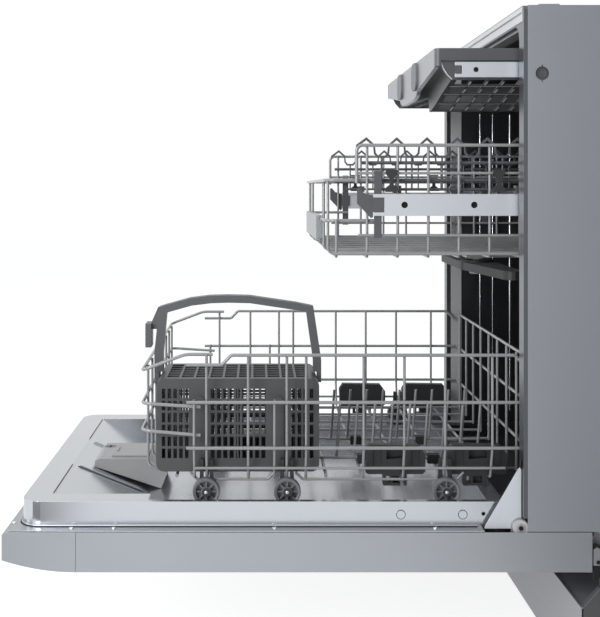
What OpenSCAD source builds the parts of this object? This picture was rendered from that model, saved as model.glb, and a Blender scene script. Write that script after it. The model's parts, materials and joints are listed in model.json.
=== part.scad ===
// Built-in dishwasher, 24 inch class, standing with its door open and its three racks pulled out.
// Millimetres. +Z is up, the floor is Z = 0 and the front faces -Y. The modules are drawn with Y = 0
// at the cabinet's front edge, and placed() moves that edge so that the origin is the centre of the
// footprint.

/* [Cabinet] */
// Width of the cabinet and of the door
cabinet_w = 598; // [590:1:610]
// Depth of the cabinet behind its front edge
cabinet_d = 542; // [530:1:570]
// Height of the cabinet above the floor
cabinet_h = 860; // [850:1:880]
// Thickness of the cabinet's sheet steel
sheet_t = 1; // [0.6:0.1:1.4]
// Height of the toe space
toe_h = 100; // [90:1:104]
// Depth of the toe space behind the cabinet's front edge
toe_setback = 67; // [60:1:72]
// Height of the base tray's floor above the floor
tray_z = 14; // [10:1:20]
// Wall of the moulded base tray
tray_t = 3; // [2:0.5:4]
// Diameter of a levelling foot
foot_d = 34; // [28:1:40]

/* [Tub] */
// Space between the tub and the cabinet's outer face on each side
tub_side_gap = 24; // [23:0.5:26]
// Thickness of the tub's steel
tub_t = 1.5; // [1:0.1:2]
// Height of the tub's floor
tub_floor_z = 204; // [203:0.5:206]
// Space above the tub's ceiling
tub_top_gap = 22; // [18:1:26]
// Space behind the tub
tub_rear_gap = 14; // [10:1:22]
// Radius of the tub's upper corners
tub_r = 24; // [15:1:30]
// How far the tub's front flange stands ahead of the cabinet
flange_d = 5.3; // [4:0.1:6]
// Height of the wheel track, on the door and in the tub
track_z = 219; // [217:0.5:221]

/* [Door] */
// Reach of the open door ahead of the cabinet
door_reach = 662; // [640:1:680]
// Length of the door behind its pivot
door_tail = 89; // [84:1:91]
// Thickness of the door's outer shell
door_t = 50; // [46:0.5:52]
// Sheet thickness of the door's outer shell
skin_t = 0.8; // [0.6:0.1:1.2]
// Pivot ahead of the cabinet's front edge
pivot_out = 8; // [7:0.5:10]
// Height of the pivot
pivot_z = 201; // [200:0.5:202]
// Radius of the pivot pins
pin_r = 5; // [4:0.5:6]
// Radial running clearance of the pivots and axles
run_fit = 0.06; // [0.02:0.01:0.1]
// Length of the control panel along the door
fascia_l = 93; // [80:1:110]
// Ledge of the door on each side of its inner liner
liner_ledge = 21.5; // [19:0.5:26]
// Height of the liner's rim
rim_z = 229.5; // [228:0.5:232]
// Height of the liner's recessed floor
liner_floor_z = 186; // [180:1:195]
// Gap between the liner's front edge and the door's front edge
liner_inset = 18.5; // [15:0.5:25]

/* [Racks] */
// Radius of the heavy rack wire
wire_r = 2.2; // [1.8:0.1:2.4]
// Radius of the light rack wire
thin_r = 1.8; // [1.4:0.1:2]
// Space between the tub and the lower and middle racks on each side
rack_side_gap = 11; // [10:0.5:15]
// Front of the lower rack ahead of the cabinet
lower_front = 492; // [480:1:500]
// Length of the lower rack
lower_l = 504; // [480:1:508]
// Height of the lower rack's top wire
lower_top_z = 414; // [400:1:420]
// Height of the lower rack's floor wires
lower_floor_z = 252; // [250:0.5:256]
// Radius of the lower rack's wheels
wheel_r = 17.5; // [16:0.5:17.5]
// Front of the middle rack ahead of the cabinet
middle_front = 254; // [248:1:260]
// Length of the middle rack
middle_l = 468; // [450:1:478]
// Depth of the middle rack's floor wires below the tub's ceiling
middle_drop = 297; // [292:1:302]
// Height of the middle rack's upper top wire above its floor wires
middle_h = 144; // [134:1:149]
// Front of the third rack ahead of the cabinet
third_front = 107; // [100:1:112]
// Length of the third rack
third_l = 480; // [460:1:490]
// Depth of the third rack's top edge below the tub's ceiling
third_drop = 27; // [24:1:32]

/* [Silverware basket] */
// Length of the silverware basket
basket_l = 214; // [190:1:220]
// Width of the silverware basket
basket_w = 128; // [110:1:135]
// Height of the silverware basket without its handle
basket_h = 116; // [100:1:125]
// Height of the handle's arch above the basket's foot
handle_h = 220; // [200:1:225]

/* [Hidden] */

// Smoothness of round pieces
round_fn = 48;
wire_fn = 20;
// A cut runs this far past the face it opens
over = 1;
// Gap at which one piece seats on another
seat = 0.3;

// Half widths
half_w = cabinet_w / 2;
tub_half = half_w - tub_side_gap;
liner_half = half_w - liner_ledge;
side_x = tub_half - rack_side_gap - wire_r;

// What the tub's and the racks' heights and depths follow
tub_top_z = cabinet_h - tub_top_gap;
tub_d = cabinet_d - tub_rear_gap;
middle_floor_z = tub_top_z - middle_drop;
middle_top_z = middle_floor_z + middle_h;
third_top_z = tub_top_z - third_drop;

// Door
door_front_y = -door_reach;
door_rear_y = door_tail - pivot_out;
door_z1 = pivot_z - 4.5;
door_z0 = door_z1 - door_t;
fascia_y = door_front_y + fascia_l;
liner_front_y = door_front_y + liner_inset;
liner_rear_y = -pivot_out - 7;

// The cabinet's front edge in the finished frame
front_y = (door_reach - cabinet_d) / 2;

module placed() {
  translate([0, front_y, 0]) children();
}

module both_sides() {
  children();
  mirror([1, 0, 0]) children();
}

// A box between two corners
module block(a, b) {
  translate(a) cube(b - a);
}

// Points of an arc
function arc(c, r, a0, a1, n) = [for (i = [0:n]) c + r * [cos(a0 + (a1 - a0) * i / n),
  sin(a0 + (a1 - a0) * i / n)]];

// Points of a rectangle with its four corners rounded
function rounded(x0, y0, x1, y1, r, n = 6) = concat(
  arc([x1 - r, y0 + r], r, -90, 0, n),
  arc([x1 - r, y1 - r], r, 0, 90, n),
  arc([x0 + r, y1 - r], r, 90, 180, n),
  arc([x0 + r, y0 + r], r, 180, 270, n)
);

// A YZ outline drawn out along X, from x0 to x1
module along_x(x0, x1, points) {
  translate([x0, 0, 0]) rotate([90, 0, 90]) linear_extrude(x1 - x0) polygon(points);
}

// An XZ outline drawn out along Y, from y0 to y1
module along_y(y0, y1, points) {
  translate([0, y1, 0]) rotate([90, 0, 0]) linear_extrude(y1 - y0) polygon(points);
}

// An XY outline drawn up from z0 to z1
module along_z(z0, z1, points) {
  translate([0, 0, z0]) linear_extrude(z1 - z0) polygon(points);
}

// Flat shapes drawn out as sheets, across X and across Y
module sheet_x(x0, x1) {
  translate([x0, 0, 0]) rotate([90, 0, 90]) linear_extrude(x1 - x0) children();
}

module sheet_y(y0, y1) {
  translate([0, y1, 0]) rotate([90, 0, 0]) linear_extrude(y1 - y0) children();
}

// Cols by rows windows over a field of size l by h whose low corner is at c, with bars between them
module windows(c, l, h, cols, rows, bar) {
  for (i = [0:cols - 1], j = [0:rows - 1])
    translate(c + [bar / 2 + i * l / cols, bar / 2 + j * h / rows]) square([l / cols - bar,
      h / rows - bar]);
}

module disc_x(x0, x1, y, z, r, fn = round_fn) {
  translate([x0, y, z]) rotate([0, 90, 0]) cylinder(r = r, h = x1 - x0, $fn = fn);
}

module disc_y(y0, y1, x, z, r, fn = round_fn) {
  translate([x, y1, z]) rotate([90, 0, 0]) cylinder(r = r, h = y1 - y0, $fn = fn);
}

module disc_z(z0, z1, x, y, r, fn = round_fn) {
  translate([x, y, z0]) cylinder(r = r, h = z1 - z0, $fn = fn);
}

function unit(v) = v / norm(v);

// A straight round rod from a to b
module rod(a, b, r) {
  v = b - a;
  translate(a) rotate([0, acos(v.z / norm(v)), atan2(v.y, v.x)]) cylinder(r = r, h = norm(v),
    $fn = wire_fn);
}

// How far a wire turns at its point i, in degrees
function turn_at(p, i) = 180 - acos(unit(p[i - 1] - p[i]) * unit(p[i + 1] - p[i]));

// A corner that turns less than this gets a wide bend
gentle_turn = 25;
gentle_r = 36;
// A bend is this much thinner than its wire's legs, which run this far into it
bend_slack = 0.03;
bend_lap = 0.2;

function bend_at(p, i, bend_r) = turn_at(p, i) < gentle_turn ? gentle_r : bend_r;

// How much of each leg the corner at point i of a wire takes up
function bend_cut(p, i, bend_r) = (i == 0 || i == len(p) - 1) ? 0 :
  bend_at(p, i, bend_r) * tan(turn_at(p, i) / 2) - bend_lap;

// The bend of a wire round its corner b, coming from a and going on to c
module bend(a, b, c, r, bend_r) {
  u = unit(a - b);
  w = unit(c - b);
  turn = acos(u * w);
  centre = b + unit(u + w) * bend_r / sin(turn / 2);
  e1 = unit(b + u * bend_r / tan(turn / 2) - centre);
  n = -unit(cross(u, w));
  e2 = cross(n, e1);
  multmatrix([[e1.x, e2.x, n.x, centre.x], [e1.y, e2.y, n.y, centre.y], [e1.z, e2.z, n.z, centre.z],
    [0, 0, 0, 1]])
    rotate_extrude(angle = 180 - turn, $fn = round_fn) translate([bend_r, 0]) circle(r = r - bend_slack,
      $fn = wire_fn);
}

// A wire through the points p, with its corners bent to bend_r
module wire(p, r, bend_r = 8) {
  for (i = [0:len(p) - 2]) {
    d = unit(p[i + 1] - p[i]);
    rod(p[i] + d * bend_cut(p, i, bend_r), p[i + 1] - d * bend_cut(p, i + 1, bend_r), r);
  }
  for (i = [1:1:len(p) - 2]) bend(p[i - 1], p[i], p[i + 1], r, bend_at(p, i, bend_r));
}

// Base and cabinet

base_half = half_w - 11.7;
base_rear_y = cabinet_d - 4;
base_rise_y = 122;
deck_t = 3;

module base_tray() {
  color("dimgray") difference() {
    union() {
      block([-base_half, toe_setback + 3, tray_z], [base_half, base_rear_y, toe_h]);
      block([-base_half, base_rise_y, toe_h - over], [base_half, base_rear_y, tub_floor_z - tub_t - seat]);
    }
    block([-base_half + tray_t, toe_setback + 3 + tray_t, tray_z + tray_t],
      [base_half - tray_t, base_rear_y - tray_t, toe_h - deck_t]);
    block([-base_half + tray_t, base_rise_y + tray_t, toe_h - deck_t - over],
      [base_half - tray_t, base_rear_y - tray_t, tub_floor_z]);
    for (x = [-1, 1], y = foot_y) disc_z(tray_z - over, tray_z + tray_t + over, x * foot_x, y, 4 + run_fit);
    both_sides() block([plate_x0 - seat, base_rise_y - over, plate_low_z - seat],
      [plate_x1 + seat, base_rise_y + tray_t + over, tub_floor_z]);
  }
}

foot_x = half_w - 38;
foot_y = [112, cabinet_d - 34];

module levelling_feet() {
  color("dimgray") for (x = [-1, 1], y = foot_y) {
    disc_z(0, 7, x * foot_x, y, foot_d / 2);
    disc_z(7 - 0.01, 10, x * foot_x, y, foot_d / 2 - 8);
    disc_z(10 - 0.01, 60, x * foot_x, y, 4);
    disc_z(10 - 0.01, tray_z - seat, x * foot_x, y, 8, 6);
  }
}

hole_y = 18.2;
hole_z = cabinet_h - 86;
hole_r = 8.5;
panel_low_z = pivot_z - 3.5;
panel_notch_y = 132;

module side_panel() {
  difference() {
    union() {
      along_x(half_w - sheet_t, half_w, [
        [0, panel_low_z], [door_rear_y + 6, panel_low_z], [door_rear_y + 18, panel_low_z - 8],
        [panel_notch_y, panel_low_z - 8], [panel_notch_y, toe_h + 4], [cabinet_d, toe_h + 4],
        [cabinet_d, cabinet_h], [0, cabinet_h]
      ]);
      block([half_w - 12, 0, panel_low_z + 90], [half_w, sheet_t, cabinet_h]);
      block([half_w - 16, 0, cabinet_h - sheet_t], [half_w, cabinet_d, cabinet_h]);
    }
    disc_x(half_w - 2, half_w + over, hole_y, hole_z, hole_r);
    for (a = [-1, 1]) block([half_w - 2, hole_y - 0.8, hole_z + a * hole_r - 2.2],
      [half_w + over, hole_y + 0.8, hole_z + a * hole_r + 2.2]);
  }
}

module side_panels() {
  color("lightslategray") both_sides() side_panel();
}

module rear_panel() {
  color("silver") difference() {
    block([-half_w + sheet_t + seat, cabinet_d - sheet_t - 0.5, toe_h + 4],
      [half_w - sheet_t - seat, cabinet_d - 0.5, cabinet_h - sheet_t - seat]);
    for (z = [toe_h + 40, toe_h + 80], x = [-150, 150]) disc_y(cabinet_d - 4, cabinet_d + over, x, z, 12);
  }
}

bracket_y0 = 14;
bracket_l = 26;
bracket_hole_x = half_w - 9;
bracket_hole_r = 2.5;

// Tabs on top of the cabinet, which are screwed up into the counter
module top_brackets() {
  color("silver") both_sides() difference() {
    union() {
      block([half_w - 16, bracket_y0, cabinet_h], [half_w - 0.5, bracket_y0 + bracket_l, cabinet_h + 1.5]);
      block([half_w - 60, bracket_y0 + 4, cabinet_h - sheet_t - 1.8],
        [half_w - sheet_t - 0.4, bracket_y0 + bracket_l - 4, cabinet_h - sheet_t]);
      block([half_w - 60, bracket_y0 + 4, tub_top_z + tub_t],
        [half_w - 58.5, bracket_y0 + bracket_l - 4, cabinet_h - sheet_t]);
    }
    disc_z(cabinet_h - 4, cabinet_h + 4, bracket_hole_x, bracket_y0 + bracket_l / 2, bracket_hole_r);
  }
}

module toe_panel() {
  color("lightsteelblue") {
    block([-half_w + 1, toe_setback, 3], [half_w - 1, toe_setback + 1.2, toe_h + 0.8]);
    block([-half_w + 1, toe_setback, toe_h - 0.4 + 0.8], [half_w - 1, toe_setback + 3, toe_h + 0.8 + 0.8]);
  }
}

// Tub

ledge_x = tub_half - 35;
sump_y = 212;
arm_hub_y = sump_y + 62;
sump_r = 84;
open_z0 = tub_floor_z + 2;
open_z1 = tub_top_z - 5;

// Section of the tub across the machine, k inside the outer face
function tub_section(k) = concat(
  [
    [ledge_x - k, tub_floor_z - tub_t + k], [ledge_x - k, track_z - tub_t + k],
    [tub_half + tub_t - k, track_z - tub_t + k]
  ],
  arc([tub_half + tub_t - tub_r, tub_top_z + tub_t - tub_r], tub_r - k, 0, 90, 6),
  arc([-tub_half - tub_t + tub_r, tub_top_z + tub_t - tub_r], tub_r - k, 90, 180, 6),
  [
    [-tub_half - tub_t + k, track_z - tub_t + k], [-ledge_x + k, track_z - tub_t + k],
    [-ledge_x + k, tub_floor_z - tub_t + k]
  ]
);

module tub() {
  color("gainsboro") difference() {
    union() {
      along_y(-flange_d + 1.2, tub_d, tub_section(0));
      tub_flange();
    }
    along_y(-flange_d - over, tub_d - tub_t, tub_section(tub_t));
    disc_z(tub_floor_z - 6, tub_floor_z + 4, 0, sump_y, sump_r);
    both_sides() hinge_slot();
    disc_x(-tub_half - 4, -tub_half + 4, 240, 520, 30);
    disc_y(tub_d - 4, tub_d + 4, 0, tub_floor_z + 40, 12);
  }
}

// The sheet rim round the tub's mouth, folded back at its outer edge
module tub_flange() {
  difference() {
    along_y(-flange_d, -0.05, rounded(-half_w, open_z0 - 7, half_w, cabinet_h, 6));
    along_y(-flange_d + 1.2, 5, rounded(-half_w + 1.2, open_z0 - 5.8, half_w - 1.2, cabinet_h - 1.2, 5));
    intersection() {
      along_y(-flange_d - over, 5, tub_section(tub_t));
      along_y(-flange_d - over, 5, rounded(-tub_half + 1, open_z0, tub_half - 1, open_z1, tub_r - 4));
    }
  }
}

slot_x0 = half_w - 19;
slot_x1 = half_w - 6.5;
slot_z1 = pivot_z + 84;

module hinge_slot() {
  block([slot_x0, -flange_d - over, pivot_z - 20], [slot_x1, 4, slot_z1]);
  block([slot_x0, -flange_d - over, pivot_z - 20], [half_w + over, 4, pivot_z + 13]);
}

module door_gasket() {
  gasket_t = 3.4;
  color("dimgray") difference() {
    along_y(2, 20, concat(
      [[tub_half - 0.02, track_z + 0.3]],
      arc([tub_half - tub_r + tub_t, tub_top_z - tub_r + tub_t], tub_r - tub_t - 0.02, 0, 90, 6),
      arc([-tub_half + tub_r - tub_t, tub_top_z - tub_r + tub_t], tub_r - tub_t - 0.02, 90, 180, 6),
      [[-tub_half + 0.02, track_z + 0.3]]
    ));
    along_y(1, 21, concat(
      [[tub_half - gasket_t, track_z - over]],
      arc([tub_half - tub_r + tub_t, tub_top_z - tub_r + tub_t], tub_r - tub_t - gasket_t, 0, 90, 6),
      arc([-tub_half + tub_r - tub_t, tub_top_z - tub_r + tub_t], tub_r - tub_t - gasket_t, 90, 180, 6),
      [[-tub_half + gasket_t, track_z - over]]
    ));
  }
}

// Water system under and inside the tub

sump_low_z = 118;

module sump() {
  color("dimgray") translate([0, sump_y, 0]) rotate_extrude($fn = round_fn) polygon([
    [0, sump_low_z], [48, sump_low_z], [56, sump_low_z + 6], [60, 160], [sump_r - 4, 188],
    [sump_r - 0.4, 190], [sump_r - 0.4, tub_floor_z], [sump_r - 6, tub_floor_z],
    [sump_r - 8, 192], [57, 163], [53, sump_low_z + 8], [47, sump_low_z + 3], [0, sump_low_z + 3]
  ]);
  // Deck across the sump with the spray arm's seat and the filter's collar
  color("dimgray") difference() {
    disc_z(tub_floor_z - 8, tub_floor_z - 4, 0, sump_y, sump_r - 7);
    disc_z(tub_floor_z - 9, tub_floor_z, 0, filter_y, filter_r + seat);
  }
  color("dimgray") disc_z(tub_floor_z - 5, arm_z, 0, arm_hub_y, 13);
  color("dimgray") disc_z(arm_z - 0.01, arm_z + 19, 0, arm_hub_y, arm_pin_r);
}

filter_r = 30;
filter_y = sump_y;
filter_low_z = sump_low_z + 14;

module coarse_filter() {
  color("gray") {
    difference() {
      union() {
        disc_z(filter_low_z, tub_floor_z - 1, 0, filter_y, filter_r - 1);
        disc_z(tub_floor_z - 9, tub_floor_z - 1, 0, filter_y, filter_r);
      }
      disc_z(filter_low_z + 2, tub_floor_z, 0, filter_y, filter_r - 3);
      for (a = [0:30:150], z = [filter_low_z + 10:18:tub_floor_z - 24])
        translate([0, filter_y, z]) rotate([0, 0, a]) block([-filter_r - 2, -3.5, 0],
          [filter_r + 2, 3.5, 10]);
    }
    block([-4, filter_y - filter_r + 2, tub_floor_z - 12], [4, filter_y + filter_r - 2, tub_floor_z + 4]);
    disc_z(filter_low_z + 0.5, tub_floor_z + 4, 0, filter_y, 6, 6);
  }
}

module circulation_pump() {
  pump_y = 372;
  pump_z = 96;
  color("silver") {
    disc_x(-6, 92, pump_y, pump_z, 44);
    disc_x(92 - 0.01, 100, pump_y, pump_z, 34);
    disc_x(-44, -6 + 0.01, pump_y, pump_z, 54);
    disc_x(-64, -44 + 0.01, pump_y, pump_z, 18);
    for (x = [10:12:82]) disc_x(x, x + 3, pump_y, pump_z, 47);
    block([-30, pump_y - 30, tray_z + tray_t + seat], [80, pump_y + 30, pump_z - 38]);
  }
}

module drain_pump() {
  pump_x = 120;
  pump_z = 62;
  color("darkslategray") {
    disc_y(150, 196, pump_x, pump_z, 24);
    disc_y(196 - 0.01, 214, pump_x, pump_z, 32);
    disc_y(214 - 0.01, 236, pump_x, pump_z, 11);
    block([pump_x - 20, 156, tray_z + tray_t + seat], [pump_x + 20, 206, pump_z - 10]);
  }
}

module water_inlet_valve() {
  valve_x = -(base_half - 97.3);
  color("white") {
    disc_y(110, 150, valve_x, 58, 14);
    disc_y(150 - 0.01, 186, valve_x, 58, 18);
    block([valve_x - 14, 120, 50], [valve_x + 14, 142, 94 - seat]);
    block([valve_x - 20, 155, tray_z + tray_t + seat], [valve_x + 20, 182, 58]);
  }
  color("gold") disc_y(92, 110 + 0.01, valve_x, 58, 9);
}

module heat_exchanger() {
  low = exchanger_z0;
  high = tub_top_z - 78;
  color("white") difference() {
    along_x(-half_w + sheet_t + seat, -tub_half - tub_t - 1,
      rounded(exchanger_y0, low, tub_d - 58, high, 20));
    for (i = [1:4]) along_x(-half_w, -tub_half - 10,
      rounded(exchanger_y0 + i * 70, low + 40, exchanger_y0 + i * 70 + 8, high - 40, 3.9));
  }
  color("white") block([-tub_half - 18, exchanger_y0 + 100, tub_floor_z - tub_t],
    [-tub_half - 8, exchanger_y0 + 120, low + 0.01]);
}

exchanger_y0 = 120;
exchanger_z0 = 330;

weight_y0 = cabinet_d - 46;
weight_top_z = 107;

module counterweight() {
  color("gray") difference() {
    block([-weight_half, weight_y0, tray_z + tray_t + seat],
      [weight_half, base_rear_y - tray_t - seat, weight_top_z]);
    for (x = [-1, 1]) disc_z(tray_z, weight_top_z + over, x * (weight_half - 30), weight_y0 + 20, 7);
  }
}

weight_half = half_w - 84;

// Pipe that rises on the tub's rear wall, feeds the middle rack and ends in the ceiling's sprinkler
module feed_pipe() {
  pipe_y = tub_d - tub_t;
  color("gainsboro") {
    block([-15, pipe_y - 13, tub_floor_z + 20], [15, pipe_y - seat, tub_top_z - 8]);
    block([-11, 300, tub_top_z - 14], [11, pipe_y - 13 + 0.01, tub_top_z - 2]);
    disc_z(tub_top_z - 20, tub_top_z - seat, 0, 290, 28);
    disc_z(tub_top_z - 23, tub_top_z - 20 + 0.01, 0, 290, 18);
    disc_y(pipe_y - 19, pipe_y - 12, 0, feed_z, 12);
    disc_y(pipe_y - seat, tub_d + 8, 0, tub_floor_z + 40, 9);
  }
}

arm_z = 221;
arm_pin_r = 7;
arm_l = 232;

// One spray arm, hub at the origin and its underside at Z = 0
module spray_arm(length, thick, hub_r, bore) {
  half_root = 24;
  half_tip = 13;
  difference() {
    union() {
      along_z(0, thick, concat(
        arc([length - half_tip, 0], half_tip, -90, 90, 8),
        [[hub_r, half_root], [-hub_r, half_root]],
        arc([-length + half_tip, 0], half_tip, 90, 270, 8),
        [[-hub_r, -half_root], [hub_r, -half_root]]
      ));
      cylinder(r = hub_r + 8, h = thick + 3, $fn = round_fn);
    }
    translate([0, 0, -over]) cylinder(r = bore, h = thick + 6, $fn = round_fn);
    for (s = [-1, 1], d = [70:36:length - 20])
      translate([s * d, s * 4, thick - 2]) cylinder(r = 2.4, h = 4, $fn = 16);
  }
}

module lower_spray_arm() {
  color("gray") translate([0, arm_hub_y, arm_z + seat]) spray_arm(arm_l, 14, 20, arm_pin_r + run_fit);
}

// Hinges

cover_x0 = half_w - 13.8;
cover_x1 = cover_x0 + 2.5;
arm_x0 = cover_x1 + seat;
arm_x1 = arm_x0 + 3;
plate_x0 = half_w - 18;
plate_x1 = plate_x0 + 3;
plate_low_z = 118;
pin_end_x = half_w - 2;

// Steel plates fixed beside the tub, each with the pin that its side of the door turns on
module hinge_brackets() {
  color("silver") both_sides() {
    along_x(plate_x0, plate_x1, concat(
      arc([-pivot_out, pivot_z], 10, 90, 270, 10),
      [[30, pivot_z - 17], [96, pivot_z - 22], [96, plate_low_z], [158, plate_low_z],
        [158, pivot_z - 8], [20, pivot_z - 3]]
    ));
    disc_x(plate_x1 - 0.01, pin_end_x, -pivot_out, pivot_z, pin_r);
  }
}

spring_x = half_w - 31;
spring_y0 = 150;

// Springs that balance the door, hooked between the base and the hinge arms
module door_springs() {
  color("darkgray") both_sides() {
    difference() {
      disc_y(spring_y0, spring_y0 + 130, spring_x, 150, 9);
      disc_y(spring_y0 - over, spring_y0 + 131, spring_x, 150, 6.6);
      for (y = [spring_y0 + 6:6:spring_y0 + 124])
        difference() {
          disc_y(y, y + 2.4, spring_x, 150, 10);
          disc_y(y - over, y + 3.4, spring_x, 150, 7.8);
        }
    }
    wire([[spring_x + 7.5, spring_y0 + 129, 150], [spring_x + 7.5, spring_y0 + 152, 150],
      [base_half - tray_t - seat, spring_y0 + 152, 150]], 1.3, 4);
    wire([[spring_x + 7.5, spring_y0 + 1, 150], [spring_x + 7.5, spring_y0 - 10, 150],
      [plate_x0 - seat, spring_y0 - 10, 150]], 1.3, 4);
  }
}

// Steel arms that carry the door, drilled for the pivot pins
module hinge_arms() {
  color("silver") both_sides() difference() {
    along_x(arm_x0, arm_x1, concat(
      arc([-pivot_out, pivot_z], 11, 0, 180, 14),
      [[-pivot_out - 12, door_z1 - 10], [-40, door_z1 - 18], [-150, door_z1 - 22],
        [-150, door_z0 + skin_t + seat], [-10, door_z0 + skin_t + seat], [30, door_z0 + skin_t + seat],
        [30, door_z0 + 16], [-pivot_out + 10, door_z1 - 10]]
    ));
    disc_x(arm_x0 - over, arm_x1 + over, -pivot_out, pivot_z, pin_r + run_fit);
    for (y = [-130, -80]) disc_x(arm_x0 - over, arm_x1 + over, y, door_z0 + 14, 2.5, 16);
  }
}

// Pale moulded shields beside the liner, which slide in beside the tub as the door shuts
module hinge_covers() {
  tip_y = -5.6;
  foot_y0 = -52;
  color("lavender") both_sides() difference() {
    along_x(cover_x0, cover_x1, [
      [foot_y0, door_z1 + 1.6], [foot_y0 + 1, door_z1 + 5], [-9.5, pivot_z + 72], [-7.5, pivot_z + 74],
      [tip_y, pivot_z + 72], [tip_y, pivot_z + 8], [-pivot_out - 9, door_z1 + 1.6]
    ]);
    disc_x(cover_x0 - over, cover_x1 + over, -pivot_out, pivot_z, pin_r + 1);
  }
}

// Bushes that keep the door's arms on their pins
module pivot_bushes() {
  color("beige") both_sides() difference() {
    disc_x(arm_x1 + seat, pin_end_x - 1, -pivot_out, pivot_z, 10);
    disc_x(arm_x1 - over, pin_end_x + over, -pivot_out, pivot_z, pin_r + run_fit);
  }
}

// Door

tail_slot_x0 = half_w - 21;
tail_slot_x1 = half_w - 5;

// Folded steel tray that is the door's outer face
module door_outer_panel() {
  color("lightsteelblue") difference() {
    block([-half_w, fascia_y + 0.4, door_z0], [half_w, door_rear_y, door_z1]);
    block([-half_w + skin_t, fascia_y + 0.4 + skin_t, door_z0 + skin_t],
      [half_w - skin_t, door_rear_y - skin_t, door_z1 + over]);
    both_sides() block([tail_slot_x0, door_rear_y - 3, door_z0 + 20],
      [tail_slot_x1, door_rear_y + over, door_z1 + over]);
  }
}

fascia_t = 2.5;
fascia_curl = 15;
pocket_half = 82;
pocket_y0 = fascia_y - 38;
pocket_y1 = fascia_y - 8;
pocket_z = door_z0 + 34;

// Curve of the control panel's face, k inside it
function fascia_curve(k, n = 10) = [for (i = [0:n]) let (t = i / n)
  [door_front_y + k + (fascia_l - k) * t, door_z0 + k + fascia_curl * (1 - t) ^ 2]];

function fascia_outline(k) = concat(
  fascia_curve(k),
  [[fascia_y, door_z1 - k], [door_front_y + k + 3, door_z1 - k], [door_front_y + k, door_z1 - k - 3]]
);

button_y = door_front_y + 34;
button_r = 6.5;
power_x = half_w - 67;
program_x = -(power_x - 62);
start_x = -power_x;
button_low_z = door_z0 + fascia_curl * (1 - 34 / fascia_l) ^ 2 - 2;

module control_panel() {
  color("lightsteelblue") difference() {
    union() {
      difference() {
        along_x(-half_w, half_w, fascia_outline(0));
        along_x(-half_w + fascia_t, half_w - fascia_t, concat(
          fascia_curve(fascia_t), [[fascia_y + over, door_z0 + fascia_t],
            [fascia_y + over, door_z1 - fascia_t],
            [door_front_y + fascia_t + 3, door_z1 - fascia_t],
              [door_front_y + fascia_t, door_z1 - fascia_t - 3]]
        ));
      }
      block([-pocket_half - 2, pocket_y0 - 2, door_z0 + 1.5],
        [pocket_half + 2, pocket_y1 + 2, pocket_z + 2]);
    }
    block([-pocket_half, pocket_y0, door_z0 - over], [pocket_half, pocket_y1, pocket_z]);
    for (x = [power_x, program_x, start_x]) disc_z(door_z0 - over, door_z0 + 20, x, button_y,
      button_r + seat);
  }
}

module button(x) {
  disc_z(button_low_z, button_low_z + 9, x, button_y, button_r);
  disc_z(button_low_z + 9 - 0.01, button_low_z + 10.5, x, button_y, button_r + 1.6);
  disc_z(button_low_z + 10.5 - 0.01, board_z - 2, x, button_y, 2);
}

module power_button() {
  color("silver") button(power_x);
}

module program_button() {
  color("silver") button(program_x);
}

module start_button() {
  color("silver") button(start_x);
}

board_z = door_z0 + 24;
board_half = power_x + 18;

module control_board() {
  wide = board_half + 2;
  clear = board_half - 2;
  color("darkgreen") block([-board_half, button_y - 16, board_z], [board_half, button_y + 14, board_z + 1.6]);
  color("black") difference() {
    block([-wide, button_y - 18, board_z + 1.6], [wide, button_y + 16, door_z1 - fascia_t - seat]);
    block([-clear, button_y - 14, board_z + 1], [clear, button_y + 12, door_z1 - fascia_t - 3]);
  }
}

liner_t = 1.2;
recess_half = ledge_x;
track_out = tub_half - 7;
slope_y = fascia_y - 39;
slope_rise = 0.4;
recess_rear_y = -38;
track_front_y = -480;
liner_corner_r = 26;

// Height of the liner's sloping front floor at y
function slope_z(y) = max(rim_z - slope_rise * (y - slope_y), liner_floor_z);

function liner_outline(k) = concat(
  [[liner_half - k, liner_rear_y - k], [-liner_half + k, liner_rear_y - k]],
  arc([-liner_half + liner_corner_r, liner_front_y + liner_corner_r], liner_corner_r - k, 180, 270, 8),
  arc([liner_half - liner_corner_r, liner_front_y + liner_corner_r], liner_corner_r - k, 270, 360, 8)
);

// The space inside the liner, k larger than the steel's face, cut off at top
module liner_recess(k, top) {
  run = (rim_z - liner_floor_z) / slope_rise;
  along_x(-recess_half - k, recess_half + k, [
    [slope_y - k * slope_rise / 2 - (top - rim_z) / slope_rise, top],
      [slope_y + run - k * slope_rise / 2, liner_floor_z - k],
    [recess_rear_y + k, liner_floor_z - k], [recess_rear_y + k, top]
  ]);
  block([-track_out - k, track_front_y - k, track_z - k],
    [track_out + k, liner_rear_y + (k > 0 ? -0.01 : over), top]);
}

module door_liner() {
  color("gainsboro") {
    difference() {
      union() {
        along_z(door_z1 + seat, rim_z, liner_outline(0));
        liner_recess(liner_t, rim_z);
        both_sides() block([liner_half - 3, liner_front_y + 30, door_z1 + seat],
          [half_w - 1.5, -54, door_z1 + seat + liner_t]);
        block([-half_w + 1.5, liner_front_y - 10, door_z1 + seat],
          [half_w - 1.5, liner_front_y + 31, door_z1 + seat + liner_t]);
        both_sides() for (y = [-157, -78]) disc_x(liner_half - 0.5, liner_half + 0.8, y, 213, 5.6);
      }
      difference() {
        along_z(liner_floor_z - 9, rim_z - liner_t, liner_outline(liner_t));
        liner_recess(liner_t, rim_z);
      }
      liner_recess(0, rim_z + over);
      both_sides() disc_x(liner_half - 3, liner_half + 3, -51.5, 214, 2.4);
    }
    for (x = [-1, 1]) along_x(x * 76 - 4, x * 76 + 4, [
      [slope_y + 6, slope_z(slope_y + 6) - 0.3], [slope_y + 12, slope_z(slope_y + 12) + 3],
      [slope_y + 96, slope_z(slope_y + 96) + 3], [slope_y + 104, slope_z(slope_y + 104) - 0.3]
    ]);
  }
}

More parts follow.
